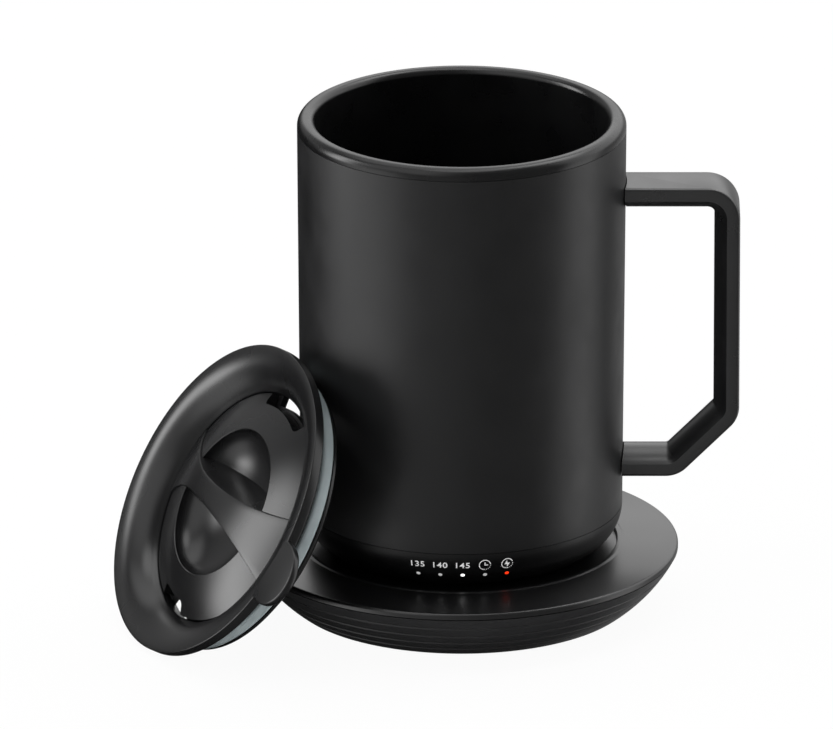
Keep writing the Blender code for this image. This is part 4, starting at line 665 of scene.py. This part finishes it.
def bowlTree():
    # sheet bent round the axis along an arc, pressed in where a groove runs
    tree, known = newShapeTree("grooved bowl", {
        "Arc Radius": "Float", "Centre Radius": "Float", "Centre Height": "Float", "Start": "Float",
        "End": "Float", "Grooves": "Int", "Groove Depth": "Float", "Groove Width": "Float", "Around": "Int",
        "Along": "Int", "Finish": "Material"})
    sheet = addNode(tree, "GeometryNodeMeshGrid", {
        "Size X": 1.0, "Size Y": 1.0, "Vertices X": known["Around"], "Vertices Y": known["Along"]})
    spot = addNode(tree, "GeometryNodeInputPosition").outputs[0]
    known.update(addNode(tree, "ShaderNodeSeparateXYZ", {"Vector": spot}).outputs.items())
    workOut(tree, known, [
        ("turn", "MULTIPLY", "X", 2 * math.pi),
        ("share", "ADD", "Y", 0.5),
        ("span", "SUBTRACT", "End", "Start"),
        ("angle", "MULTIPLY_ADD", "share", "span", "Start"),
        # how far a point lies from the middle of the nearest groove
        ("spaces", "ADD", "Grooves", 1.0),
        ("line", "MULTIPLY", "share", "spaces"),
        ("nearest", "ROUND", "line"),
        ("past", "SUBTRACT", "line", "nearest"),
        ("off", "ABSOLUTE", "past"),
        ("length", "MULTIPLY", "span", "Arc Radius"),
        ("offLength", "MULTIPLY", "off", "length"),
        ("distance", "DIVIDE", "offLength", "spaces"),
        ("halfGroove", "MULTIPLY", "Groove Width", 0.5),
        ("press", "SMOOTHSTEP", "distance", 0.0, "halfGroove"),
        # no groove runs along either edge of the sheet
        ("afterStart", "GREATER_THAN", "nearest", 0.5),
        ("last", "ADD", "Grooves", 0.5),
        ("beforeEnd", "LESS_THAN", "nearest", "last"),
        ("inner", "MULTIPLY", "afterStart", "beforeEnd"),
        ("pressed", "MULTIPLY", "press", "inner"),
        ("depth", "MULTIPLY", "pressed", "Groove Depth"),
        ("reach", "SUBTRACT", "Arc Radius", "depth"),
        ("outward", "COSINE", "angle"),
        ("upward", "SINE", "angle"),
        ("radius", "MULTIPLY_ADD", "outward", "reach", "Centre Radius"),
        ("height", "MULTIPLY_ADD", "upward", "reach", "Centre Height"),
        ("turnCosine", "COSINE", "turn"),
        ("turnSine", "SINE", "turn"),
        ("across", "MULTIPLY", "turnCosine", "radius"),
        ("back", "MULTIPLY", "turnSine", "radius"),
    ])
    place = addNode(tree, "ShaderNodeCombineXYZ", {"X": known["across"], "Y": known["back"],
                                                   "Z": known["height"]})
    bent = addNode(tree, "GeometryNodeSetPosition", {"Geometry": sheet.outputs["Mesh"],
                                                     "Position": place.outputs[0]})
    sewn = addNode(tree, "GeometryNodeMergeByDistance", {"Geometry": bent.outputs["Geometry"],
                                                         "Distance": coasterSizes["sew"]})
    return endShapeTree(tree, sewn.outputs["Geometry"], known["Finish"])


inletSizes = millimetres(height=8.5, face=52.0, radius=4.0, depth=10.0, bore=2.75, boreDepth=8.5, pin=0.7,
                         pinInset=2.0, pinRound=0.5, edge=0.3, boxDepth=11.0, hole=4.3, holeNear=42.0,
                         holeFar=62.0)
inletPlace = Matrix.Translation((0, 0, inletSizes["height"])) @ Matrix.Rotation(-quarter, 4, "X")


def makeBowl():
    c, i = coasterSizes, inletSizes
    around = facets["middle"]
    centre, start = bowlCurve()
    seam = c["edge"] - c["gap"]
    top = math.asin((seam - centre.y) / c["bowlArc"])
    mesh = grown("bowl", bowlTree(), {
        "Arc Radius": c["bowlArc"], "Centre Radius": centre.x, "Centre Height": centre.y, "Start": start,
        "End": top, "Grooves": bowlGrid["grooves"], "Groove Depth": c["grooveDepth"],
        "Groove Width": c["grooveWidth"], "Around": around + 1, "Along": bowlGrid["along"],
        "Finish": finishes["bowlAbsPaintedBounce"]})
    bm = bmesh.new()
    bm.from_mesh(mesh)
    pocket = c["foot"] + c["gap"]
    pocketRadius = c["footRadius"] + c["gap"]
    inside = pocket + c["floor"]
    inner = c["bowlArc"] - c["wall"]
    innerTop, innerLow = (math.asin((height - centre.y) / inner) for height in (seam, inside))
    lining = [arcPoint(centre, c["bowlArc"], top), *arcPoints(centre, inner, innerTop, innerLow, 8)]
    lining.append((0, inside))
    underside = [(0, pocket), (pocketRadius, pocket), (pocketRadius, c["base"])]
    underside.append(arcPoint(centre, c["bowlArc"], start))
    for profile in (lining, underside):
        addTurned(bm, profile, around, strip=True)
    bmesh.ops.remove_doubles(bm, verts=bm.verts, dist=c["join"])
    piece = meshPiece("coasterBowl", bm, "bowlAbsPaintedBounce")
    hole = bmesh.new()
    addTurned(hole, [(0, i["holeNear"]), (i["hole"], i["holeNear"]), (i["hole"], i["holeFar"]),
                     (0, i["holeFar"])], facets["socket"], inletPlace)
    carve(piece, hole)
    settle(piece, "coaster", "coaster_plastic", "coaster_bottom_shell")


def makeCover():
    c = coasterSizes
    rimTop = c["edge"] + c["round"]
    ringTop = rimTop + c["crown"] + c["ringRise"]
    seatRadius = c["ringRadius"] - c["ringWidth"]
    hole = c["block"] + c["gap"]
    under = c["seat"] - c["cover"]
    skirtInner = c["skirtRadius"] - c["skirtWidth"]
    skirtLow = c["edge"] - c["skirtDepth"]
    corners = [(c["radius"], c["edge"]), (c["radius"], rimTop, c["round"]),
               (c["ringRadius"] + c["ringRise"], rimTop + c["crown"], c["ringFoot"]),
               (c["ringRadius"] - c["ringRise"], ringTop, c["ringLip"]), (seatRadius, ringTop, c["soft"]),
               (seatRadius, c["seat"], c["soft"]), (hole, c["seat"], c["holeEdge"]), (hole, under),
               (seatRadius, under), (seatRadius + c["cover"], c["edge"]), (skirtInner, c["edge"]),
               (skirtInner, skirtLow), (c["skirtRadius"], skirtLow), (c["skirtRadius"], c["edge"])]
    piece = turnedPiece("coasterCover", corners, "coverAbs", facets["large"])
    settle(piece, "coaster", "coaster_top", "coaster_top_cover")


def makeFoot():
    c = coasterSizes
    corners = [(0, 0), (c["footRadius"], 0, c["soft"]), (c["footRadius"], c["foot"]), (0, c["foot"])]
    piece = turnedPiece("coasterFoot", corners, "footRubber", facets["middle"])
    settle(piece, "coaster", "rubber", "coaster_foot_pad")


contactSizes = millimetres(step=9.25, bore=2.3, boreLow=4.0, boreHigh=18.0, barrel=2.0, barrelBore=1.55,
                           barrelMouth=1.1, barrelFloor=1.0, barrelLip=0.8, barrelEdge=0.2, pin=0.8,
                           pinHead=1.25, headHeight=1.0, pinRound=0.75)


def makeContacts():
    c, p = coasterSizes, contactSizes
    flange = c["block"] + c["blockFlange"]
    shoulder = c["seat"] - c["cover"] - c["gap"]
    corners = [(0, c["blockLow"]), (flange, c["blockLow"]), (flange, shoulder), (c["block"], shoulder),
               (c["block"], c["seat"], c["soft"]), (0, c["seat"])]
    block = turnedPiece("contactBlock", corners, "innerNylon", facets["block"])
    bores = bmesh.new()
    for x in (0, p["step"]):
        addTurned(bores, [(0, p["boreLow"]), (p["bore"], p["boreLow"]), (p["bore"], p["boreHigh"]),
                          (0, p["boreHigh"])], facets["pin"], Matrix.Translation((x, 0, 0)))
    carve(block, bores)
    settle(block, "coaster", "inner_plastic", "contact_block")
    for word, body, x in (("center", "center_pin", 0), ("side", "side_pin", p["step"])):
        place = Matrix.Translation((x, 0, 0))
        low, high = (corner.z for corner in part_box("pin_barrel_" + word))
        floor, lip = low + p["barrelFloor"], high - p["barrelLip"]
        corners = [(p["barrelMouth"], high), (p["barrel"], high, p["barrelEdge"]), (p["barrel"], low),
                   (0, low), (0, floor), (p["barrelBore"], floor), (p["barrelBore"], lip),
                   (p["barrelMouth"], lip)]
        barrel = turnedPiece("pinBarrel_" + word, corners, "turnedBrass", facets["pin"], place)
        settle(barrel, "coaster", "brass", "pin_barrel_" + word)
        base, tip = (corner.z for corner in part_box("contact_pin_" + word))
        head = base + p["headHeight"]
        corners = [(0, base), (p["pinHead"], base), (p["pinHead"], head), (p["pin"], head),
                   (p["pin"], tip, p["pinRound"]), (0, tip)]
        pin = turnedPiece("contactPin_" + word, corners, "goldPlate", facets["pin"], place)
        settle(pin, body, "gold_plate", "contact_pin_" + word)


def makeInlet():
    i = inletSizes
    face = i["face"]
    corners = [(0, face - i["depth"]), (i["radius"], face - i["depth"]), (i["radius"], face, i["edge"]),
               (i["bore"], face, i["edge"]), (i["bore"], face - i["boreDepth"]),
               (i["pin"], face - i["boreDepth"]), (i["pin"], face - i["pinInset"], i["pinRound"]),
               (0, face - i["pinInset"])]
    piece = turnedPiece("powerInlet", corners, "innerNylon", facets["socket"], inletPlace)
    box = bmesh.new()
    low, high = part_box("power_inlet")
    back = low.y + i["boxDepth"]
    addLoft(box, [[(low.x, low.y, z), (high.x, low.y, z), (high.x, back, z), (low.x, back, z)]
                  for z in (low.z, high.z)])
    carve(piece, box, "UNION")
    settle(piece, "coaster", "inner_plastic", "power_inlet")


makeBowl()
makeCover()
makeFoot()
makeContacts()
makeInlet()
print("coaster made")


# Lid, in its own frame: face plane at zero, face normal as +Z, thumb tab near +X

rotorJoint = next(j for j in frame["joints"] if j["name"] == "lid_rotor_turn")
lidNormal = Vector(rotorJoint["axis"]).normalized()
lidAcross = Vector((0, 0, 1)).cross(lidNormal).normalized()
lidUp = lidNormal.cross(lidAcross)
lidPlace = (Matrix.Translation(rotorJoint["pos_m"])
            @ Matrix((lidAcross, lidUp, lidNormal)).transposed().to_4x4())
lidSizes = millimetres(radius=44.8, band=3.0, rollArc=11.5, rollInset=0.8, well=33.4, floorDepth=9.1,
                       floor=1.9, plug=40.0, plugDepth=13.4, lip=37.0, lipHeight=2.2, skirt=36.0,
                       tabRadius=9.2, tabCentre=46.0, tabInner=43.0, tabRise=0.2, tabThick=2.0, tabEdge=0.5,
                       gasketTop=6.4, gasketHeight=3.7, gasketOut=0.5, gasketDepth=1.7, sealInner=25.2,
                       sealWidth=1.2, sealHeight=0.9, hub=22.2, portInner=30.5, portOuter=34.0, portLow=13.0,
                       gap=0.3, rotorEdgeDepth=6.6, rotorPlateLow=8.8)
lidFillets = millimetres(well=1.2, floor=0.4, skirt=0.3, lip=0.5, band=0.4, edge=0.25, gasket=1.2)
lidAngles = {name: math.radians(angle) for name, angle in (
    ("turn", -8.5), ("rollEnd", 60), ("port", 20), ("vent", 10), ("rotorTurn", -5.5), ("notch", 20.5),
    ("ventNotch", 11.5), ("ventNotchTurn", -4.5))}


def sectorOutline(inner, outer, middle, half, steps=16):
    return (arcPoints((0, 0), outer, middle - half, middle + half, steps)
            + arcPoints((0, 0), inner, middle + half, middle - half, steps))


def lidTab():
    # rounded thumb tab: soft upper edge, small chamfer underneath
    s = lidSizes
    turn = Matrix.Rotation(lidAngles["turn"], 4, "Z")
    under = s["tabRise"] - s["tabThick"]
    levels = [(s["tabEdge"] * (1 - math.sin(angle)), s["tabRise"] - s["tabEdge"] * (1 - math.cos(angle)))
              for angle in spaced(0, quarter, 4)]
    levels += [(0, under + s["tabEdge"]), (s["tabEdge"] / 2, under)]
    rings = []
    for inset, height in levels:
        radius = s["tabRadius"] - inset
        outline = [(s["tabInner"], -radius), *arcPoints((s["tabCentre"], 0), radius, -quarter, quarter, 48),
                   (s["tabInner"], radius)]
        rings.append([turn @ Vector((x, y, height)) for x, y in outline])
    bm = bmesh.new()
    addLoft(bm, rings)
    return bm


def makeLidBody():
    s, f = lidSizes, lidFillets
    floorTop, floorLow = -s["floorDepth"], -s["floorDepth"] - s["floor"]
    plugLow = -s["plugDepth"]
    grooveTop, grooveLow = s["gap"] - s["gasketTop"], -s["gasketTop"] - s["gasketHeight"] - s["gap"]
    groove = s["plug"] - s["gasketDepth"] - s["gap"]
    sealIn, sealOut = s["sealInner"] - s["gap"], s["sealInner"] + s["sealWidth"] + s["gap"]
    sealFloor = floorTop - s["sealHeight"] - s["gap"]
    hub = s["hub"] + s["gap"]
    rollCentre = (s["radius"] - s["rollInset"], -s["rollArc"])
    profile = arcPoints(rollCentre, s["rollArc"], quarter, quarter + lidAngles["rollEnd"], 24)
    corners = [profile[-1], (s["well"], -s["rotorEdgeDepth"], f["well"]), (s["well"], floorTop, f["floor"]),
               (sealOut, floorTop), (sealOut, sealFloor), (sealIn, sealFloor), (sealIn, floorTop),
               (hub, floorTop), (hub, floorLow), (s["skirt"], floorLow, f["floor"]),
               (s["skirt"], plugLow, f["skirt"]), (s["lip"], plugLow, f["lip"]),
               (s["plug"], plugLow + s["lipHeight"], f["skirt"]), (s["plug"], grooveLow),
               (groove, grooveLow), (groove, grooveTop), (s["plug"], grooveTop),
               (s["plug"], -s["band"], f["band"]), (s["radius"], -s["band"], f["band"]),
               (s["radius"], 0, f["edge"]), (rollCentre[0], 0)]
    profile += softProfile(corners)[1:-1]
    bm = bmesh.new()
    addTurned(bm, profile, facets["large"])
    piece = meshPiece("lidBody", bm, "lidPolypropylene")
    carve(piece, lidTab(), "UNION")
    ports = bmesh.new()
    for side, half in ((1, lidAngles["port"]), (-1, lidAngles["vent"])):
        outline = sectorOutline(s["portInner"], s["portOuter"], lidAngles["turn"] + side * quarter, half)
        addLoft(ports, [[(x, y, z) for x, y in outline] for z in (-s["portLow"], -s["rotorPlateLow"])])
    carve(piece, ports)
    piece.data.transform(lidPlace)
    settle(piece, "lid", "lid_plastic", "lid_body")


rotorSizes = millimetres(radius=33.0, edge=2.2, crown=0.2, edgeDepth=6.6, notchInner=29.5, notchCorner=1.5,
                         bowl=21.4, bowlLip=0.2, bowlDepth=12.0, bottom=13.2, hub=22.2, grooveDepth=1.0,
                         gripRise=0.6, waist=3.1, gripEnd=9.9, gripInset=0.05, gripEdge=0.25, ringThick=1.0,
                         gap=0.3, overrun=2.0)
gripShape = {"waistShare": -0.3, "flarePower": 2.2, "draftShare": 0.4, "edgeTurn": math.radians(70)}


def notchOutline(middle, half):
    # sector cut into the rotor's edge, with rounded inner corners
    s = rotorSizes
    pivot = s["notchInner"] + s["notchCorner"]
    lead = math.asin(s["notchCorner"] / pivot)
    outline = arcPoints((0, 0), s["radius"] + s["overrun"], middle - half, middle + half, 16)
    for corner, start in ((middle + half - lead, quarter + lead), (middle - half + lead, math.pi)):
        centre = arcPoint((0, 0), pivot, corner)
        outline += arcPoints(centre, s["notchCorner"], corner + start, corner + start + quarter - lead, 6)
        if start < math.pi:
            outline += arcPoints((0, 0), s["notchInner"], corner, 2 * middle - corner, 16)[1:-1]
    return outline


def crownDepth(radius, apex):
    s = rotorSizes
    fall = s["edgeDepth"] - s["crown"]
    ball = (s["radius"] ** 2 + fall ** 2) / (2 * fall)
    return apex + ball - math.sqrt(ball ** 2 - radius ** 2)


def gripHalfWidth(share):
    # narrowest a little way from the middle, as the mould's waist is off centre
    off = share - gripShape["waistShare"]
    span = 1 - gripShape["waistShare"] if off > 0 else 1 + gripShape["waistShare"]
    flare = (abs(off) / span) ** gripShape["flarePower"]
    return rotorSizes["waist"] + (rotorSizes["gripEnd"] - rotorSizes["waist"]) * flare


def gripMesh():
    # waisted bar that follows the crown, with a small round on its edges and drafted sides into the bowl
    s = rotorSizes
    apex = s["crown"] - s["gripRise"]
    floor = (s["bowlDepth"] + s["bottom"]) / 2
    reach = s["radius"] - s["gripInset"]
    turn = Matrix.Rotation(lidAngles["rotorTurn"], 4, "Z")
    rings = []
    for share in spaced(-1, 1, 64):
        top = crownDepth(abs(share) * reach, apex)
        low = floor if abs(share) * reach < s["bowl"] - s["bowlLip"] else s["edgeDepth"] + s["edge"] / 2
        flat = gripHalfWidth(share) - s["gripEdge"]
        half = [(sideways, 0) for sideways in spaced(0, flat, 4)]
        half += [(flat + s["gripEdge"] * math.sin(bend), s["gripEdge"] * (1 - math.cos(bend)))
                 for bend in spaced(0, gripShape["edgeTurn"], 3)[1:]]
        deep = flat + s["gripEdge"] + gripShape["draftShare"] * (low - top)
        section = [(-deep, None), *((-x, fall) for x, fall in reversed(half[1:])), *half, (deep, None)]
        ring = []
        for sideways, fall in section:
            along = share * math.sqrt(reach ** 2 - sideways ** 2)
            level = low if fall is None else crownDepth(math.hypot(along, sideways), apex) + fall
            ring.append(turn @ Vector((along, sideways, -level)))
        rings.append(ring)
    bm = bmesh.new()
    addLoft(bm, rings)
    return bm


def makeRotor():
    s, a = rotorSizes, lidAngles
    plateLow = s["edgeDepth"] + s["edge"]
    ringTop = lidSizes["floorDepth"] + lidSizes["floor"]
    grooveLow = ringTop + s["ringThick"] + 2 * s["gap"]
    groove = s["hub"] - s["grooveDepth"]
    profile = [(0, -s["bottom"]), (s["hub"], -s["bottom"]), (s["hub"], -grooveLow), (groove, -grooveLow),
               (groove, -ringTop), (s["hub"], -ringTop), (s["hub"], -plateLow), (s["radius"], -plateLow)]
    profile += [(radius, -crownDepth(radius, s["crown"])) for radius in spaced(s["radius"], s["bowl"], 16)]
    lip = crownDepth(s["bowl"], s["crown"]) + s["bowlLip"]
    bowl, depth = s["bowl"] - s["bowlLip"], s["bowlDepth"] - lip
    profile += [(bowl * math.cos(angle), -lip - depth * math.sin(angle))
                for angle in spaced(0, quarter, 24)[:-1]]
    profile.append((0, -s["bowlDepth"]))
    bm = bmesh.new()
    addTurned(bm, profile, facets["middle"])
    piece = meshPiece("lidRotor", bm, "lidPolypropylene")
    carve(piece, gripMesh(), "UNION")
    notches = bmesh.new()
    for middle, half in ((a["rotorTurn"] + quarter, a["notch"]),
                         (a["rotorTurn"] + a["ventNotchTurn"] - quarter, a["ventNotch"])):
        outline = notchOutline(middle, half)
        addLoft(notches, [[(x, y, z) for x, y in outline] for z in (-plateLow - s["overrun"], s["overrun"])])
    carve(piece, notches)
    piece.data.transform(lidPlace)
    settle(piece, "rotor", "lid_plastic", "lid_rotor")


def makeGasket():
    s, f = lidSizes, lidFillets
    inner = s["plug"] - s["gasketDepth"]
    outer = s["plug"] + s["gasketOut"]
    low = -s["gasketTop"] - s["gasketHeight"]
    corners = [(inner, -s["gasketTop"]), (outer, -s["gasketTop"], f["gasket"]), (outer, low, f["gasket"]),
               (inner, low)]
    piece = turnedPiece("lidGasket", corners, "gasketSilicone", facets["large"])
    piece.data.transform(lidPlace)
    settle(piece, "lid", "gasket", "lid_gasket")


makeLidBody()
makeRotor()
makeGasket()
print("lid made")


# Inner pieces keep their solids and get a finish

innerFinishes = {
    "sealSilicone": ("rotor_seal", "base_seal"),
    "innerNylon": ("rotor_retainer", "button_switch", "battery_tray"),
    "steel": ("coaster_screw_1", "coaster_screw_2", "coaster_screw_3", "bottom_screw_1", "bottom_screw_2",
              "bottom_screw_3", "pin_spring_center", "pin_spring_side", "temperature_sensor"),
    "goldPlate": ("contact_disc", "contact_ring"),
    "circuitBoard": ("coaster_circuit_board", "main_circuit_board", "indicator_board"),
    "capAbs": ("mug_bottom_cover",),
    "footRubber": ("anti_slip_ring", "power_button"),
    "cellSleeve": ("battery_cell_1", "battery_cell_2"),
    "heaterFilm": ("heater_film",),
    "aluminium": ("heat_spreader",),
    "felt": ("insulation_disc",),
}
for finish, nodes in innerFinishes.items():
    for node in nodes:
        materials = frame["nodes"][node].data.materials
        materials.clear()
        materials.append(finishes[finish])
print("inner pieces dressed")


# Floor, light and camera

studio = {"floor": 6.0, "floorGlow": 0.95, "paper": (0.9, 0.9, 0.9, 1), "white": (1, 1, 1, 1),
          "front": 0.2, "frontEnds": -0.5, "behind": 0.02, "behindStarts": 0.4}
# light panels round the object, in degrees: azimuth from the front towards the right, height over the horizon
lightPanels = {
    "left strip": {"azimuth": -95, "halfWidth": 9, "low": -6, "high": 35, "edge": 5, "level": 7.2},
    "low left panel": {"azimuth": -72, "halfWidth": 24, "low": -42, "high": 4, "edge": 13, "level": 1.3},
    "low front fill": {"azimuth": -25, "halfWidth": 28, "low": -42, "high": 4, "edge": 13, "level": 0.22},
    "right panel": {"azimuth": 94, "halfWidth": 16, "low": -38, "high": 48, "edge": 5, "level": 1.35},
    "low right fill": {"azimuth": 148, "halfWidth": 30, "low": -42, "high": 4, "edge": 10, "level": 0.4},
    "upper left fill": {"azimuth": -50, "halfWidth": 36, "low": 15, "high": 75, "edge": 14, "level": 1.0},
    "white backdrop": {"azimuth": 152, "halfWidth": 45, "low": 8, "high": 42, "edge": 6, "level": 1.45},
    "grey backdrop": {"azimuth": -140, "halfWidth": 24, "low": 8, "high": 42, "edge": 6, "level": 0.4},
    "high right panel": {"azimuth": 130, "halfWidth": 26, "low": 44, "high": 74, "edge": 5, "level": 3.4},
    "high back panel": {"azimuth": -163, "halfWidth": 62, "low": 48, "high": 74, "edge": 5, "level": 1.5},
    "overhead panel": {"azimuth": 0, "halfWidth": 190, "low": 77, "high": 103, "edge": 3, "level": 2.8},
}


def makeFloor():
    bm = bmesh.new()
    half = studio["floor"] / 2
    bm.faces.new([bm.verts.new((x * half, y * half, 0)) for x, y in ((-1, -1), (1, -1), (1, 1), (-1, 1))])
    mesh = bpy.data.meshes.new("floor")
    bm.to_mesh(mesh)
    bm.free()
    floor = addObject("floor", mesh)
    made = bpy.data.materials.new("white paper")
    made.use_nodes = True
    tree = made.node_tree
    tree.nodes.clear()
    plain = addNode(tree, "ShaderNodeBsdfDiffuse", {"Color": studio["paper"]})
    glow = addNode(tree, "ShaderNodeEmission", {"Color": studio["white"], "Strength": 1.0})
    clear = addNode(tree, "ShaderNodeBsdfTransparent")
    known = dict(addNode(tree, "ShaderNodeLightPath").outputs.items())
    workOut(tree, known, [("seen", "MAXIMUM", "Is Camera Ray", "Is Transmission Ray"),
                          ("share", "MULTIPLY", "seen", studio["floorGlow"])])
    paper = addNode(tree, "ShaderNodeMixShader", {0: known["share"], 1: plain.outputs[0], 2: glow.outputs[0]})
    # reflections look past the paper to the light panels, as on a raised glass table
    both = addNode(tree, "ShaderNodeMixShader", {0: known["Is Glossy Ray"], 1: paper.outputs[0],
                                                2: clear.outputs[0]})
    addNode(tree, "ShaderNodeOutputMaterial", {"Surface": both.outputs[0]})
    mesh.materials.append(made)


def panelRows(azimuth, halfWidth, low, high, edge, level):
    # each band is 1 inside its angles and falls softly to 0 across its edges
    rows = []
    for band, angle, middle, half in (("across", "azimuth", azimuth, halfWidth),
                                      ("up", "height", (low + high) / 2, (high - low) / 2)):
        rows += [("off", "SUBTRACT", angle, middle), ("turned", "WRAP", "off", math.pi, -math.pi),
                 ("apart", "ABSOLUTE", "turned"), (band, "SMOOTHSTEP", "apart", half - edge, half + edge)]
    return rows + [("both", "MULTIPLY", "across", "up"), ("level", "MULTIPLY_ADD", "both", level, "level")]


def makeWorld():
    world = bpy.data.worlds.new("studio")
    bpy.context.scene.world = world
    world.use_nodes = True
    tree = world.node_tree
    tree.nodes.clear()
    way = addNode(tree, "ShaderNodeTexCoord").outputs["Generated"]
    known = dict(addNode(tree, "ShaderNodeSeparateXYZ", {"Vector": way}).outputs.items())
    known.update(addNode(tree, "ShaderNodeLightPath").outputs.items())
    known["level"] = addNode(tree, "ShaderNodeMapRange", {
        "Value": known["Y"], "From Min": studio["frontEnds"], "From Max": studio["behindStarts"],
        "To Min": studio["front"], "To Max": studio["behind"]}, interpolation_type="SMOOTHSTEP").outputs[0]
    workOut(tree, known, [("forward", "MULTIPLY", "Y", -1.0), ("azimuth", "ARCTAN2", "X", "forward"),
                          ("height", "ARCSINE", "Z"),
                          ("seen", "MAXIMUM", "Is Camera Ray", "Is Transmission Ray")])
    for panel in lightPanels.values():
        angles = {name: math.radians(angle) for name, angle in panel.items() if name != "level"}
        workOut(tree, known, panelRows(level=panel["level"], **angles))
    room = addNode(tree, "ShaderNodeBackground", {"Color": studio["white"], "Strength": known["level"]})
    white = addNode(tree, "ShaderNodeBackground", {"Color": studio["white"], "Strength": 1.0})
    both = addNode(tree, "ShaderNodeMixShader", {0: known["seen"], 1: room.outputs[0], 2: white.outputs[0]})
    addNode(tree, "ShaderNodeOutputWorld", {"Surface": both.outputs[0]})


# the camera looks down by elevation; focal length, image and the mug's foot on its axis are in pixels, and
# scale is in pixels to a metre
cameraView = {"elevation": math.radians(19.8), "focal": 20000.0, "scale": 3647.0, "image": (833, 729),
              "axis": (461.54, 596.4), "sensor": 36.0, "clip": 50.0}


def makeCamera():
    v = cameraView
    width, height = v["image"]
    data = bpy.data.cameras.new("camera")
    data.sensor_width = v["sensor"]
    data.lens = v["sensor"] * v["focal"] / width
    data.clip_end = v["clip"]
    camera = addObject("camera", data)
    aim = Vector(((width / 2 - v["axis"][0]) / v["scale"], 0,
                  (v["axis"][1] - height / 2) / (v["scale"] * math.cos(v["elevation"]))))
    back = Vector((0, -math.cos(v["elevation"]), math.sin(v["elevation"])))
    camera.location = aim + back * (v["focal"] / v["scale"])
    camera.rotation_euler = (quarter - v["elevation"], 0, 0)
    bpy.context.scene.camera = camera


makeFloor()
makeWorld()
makeCamera()
bpy.context.scene.view_settings.view_transform = "Standard"
print("studio made")
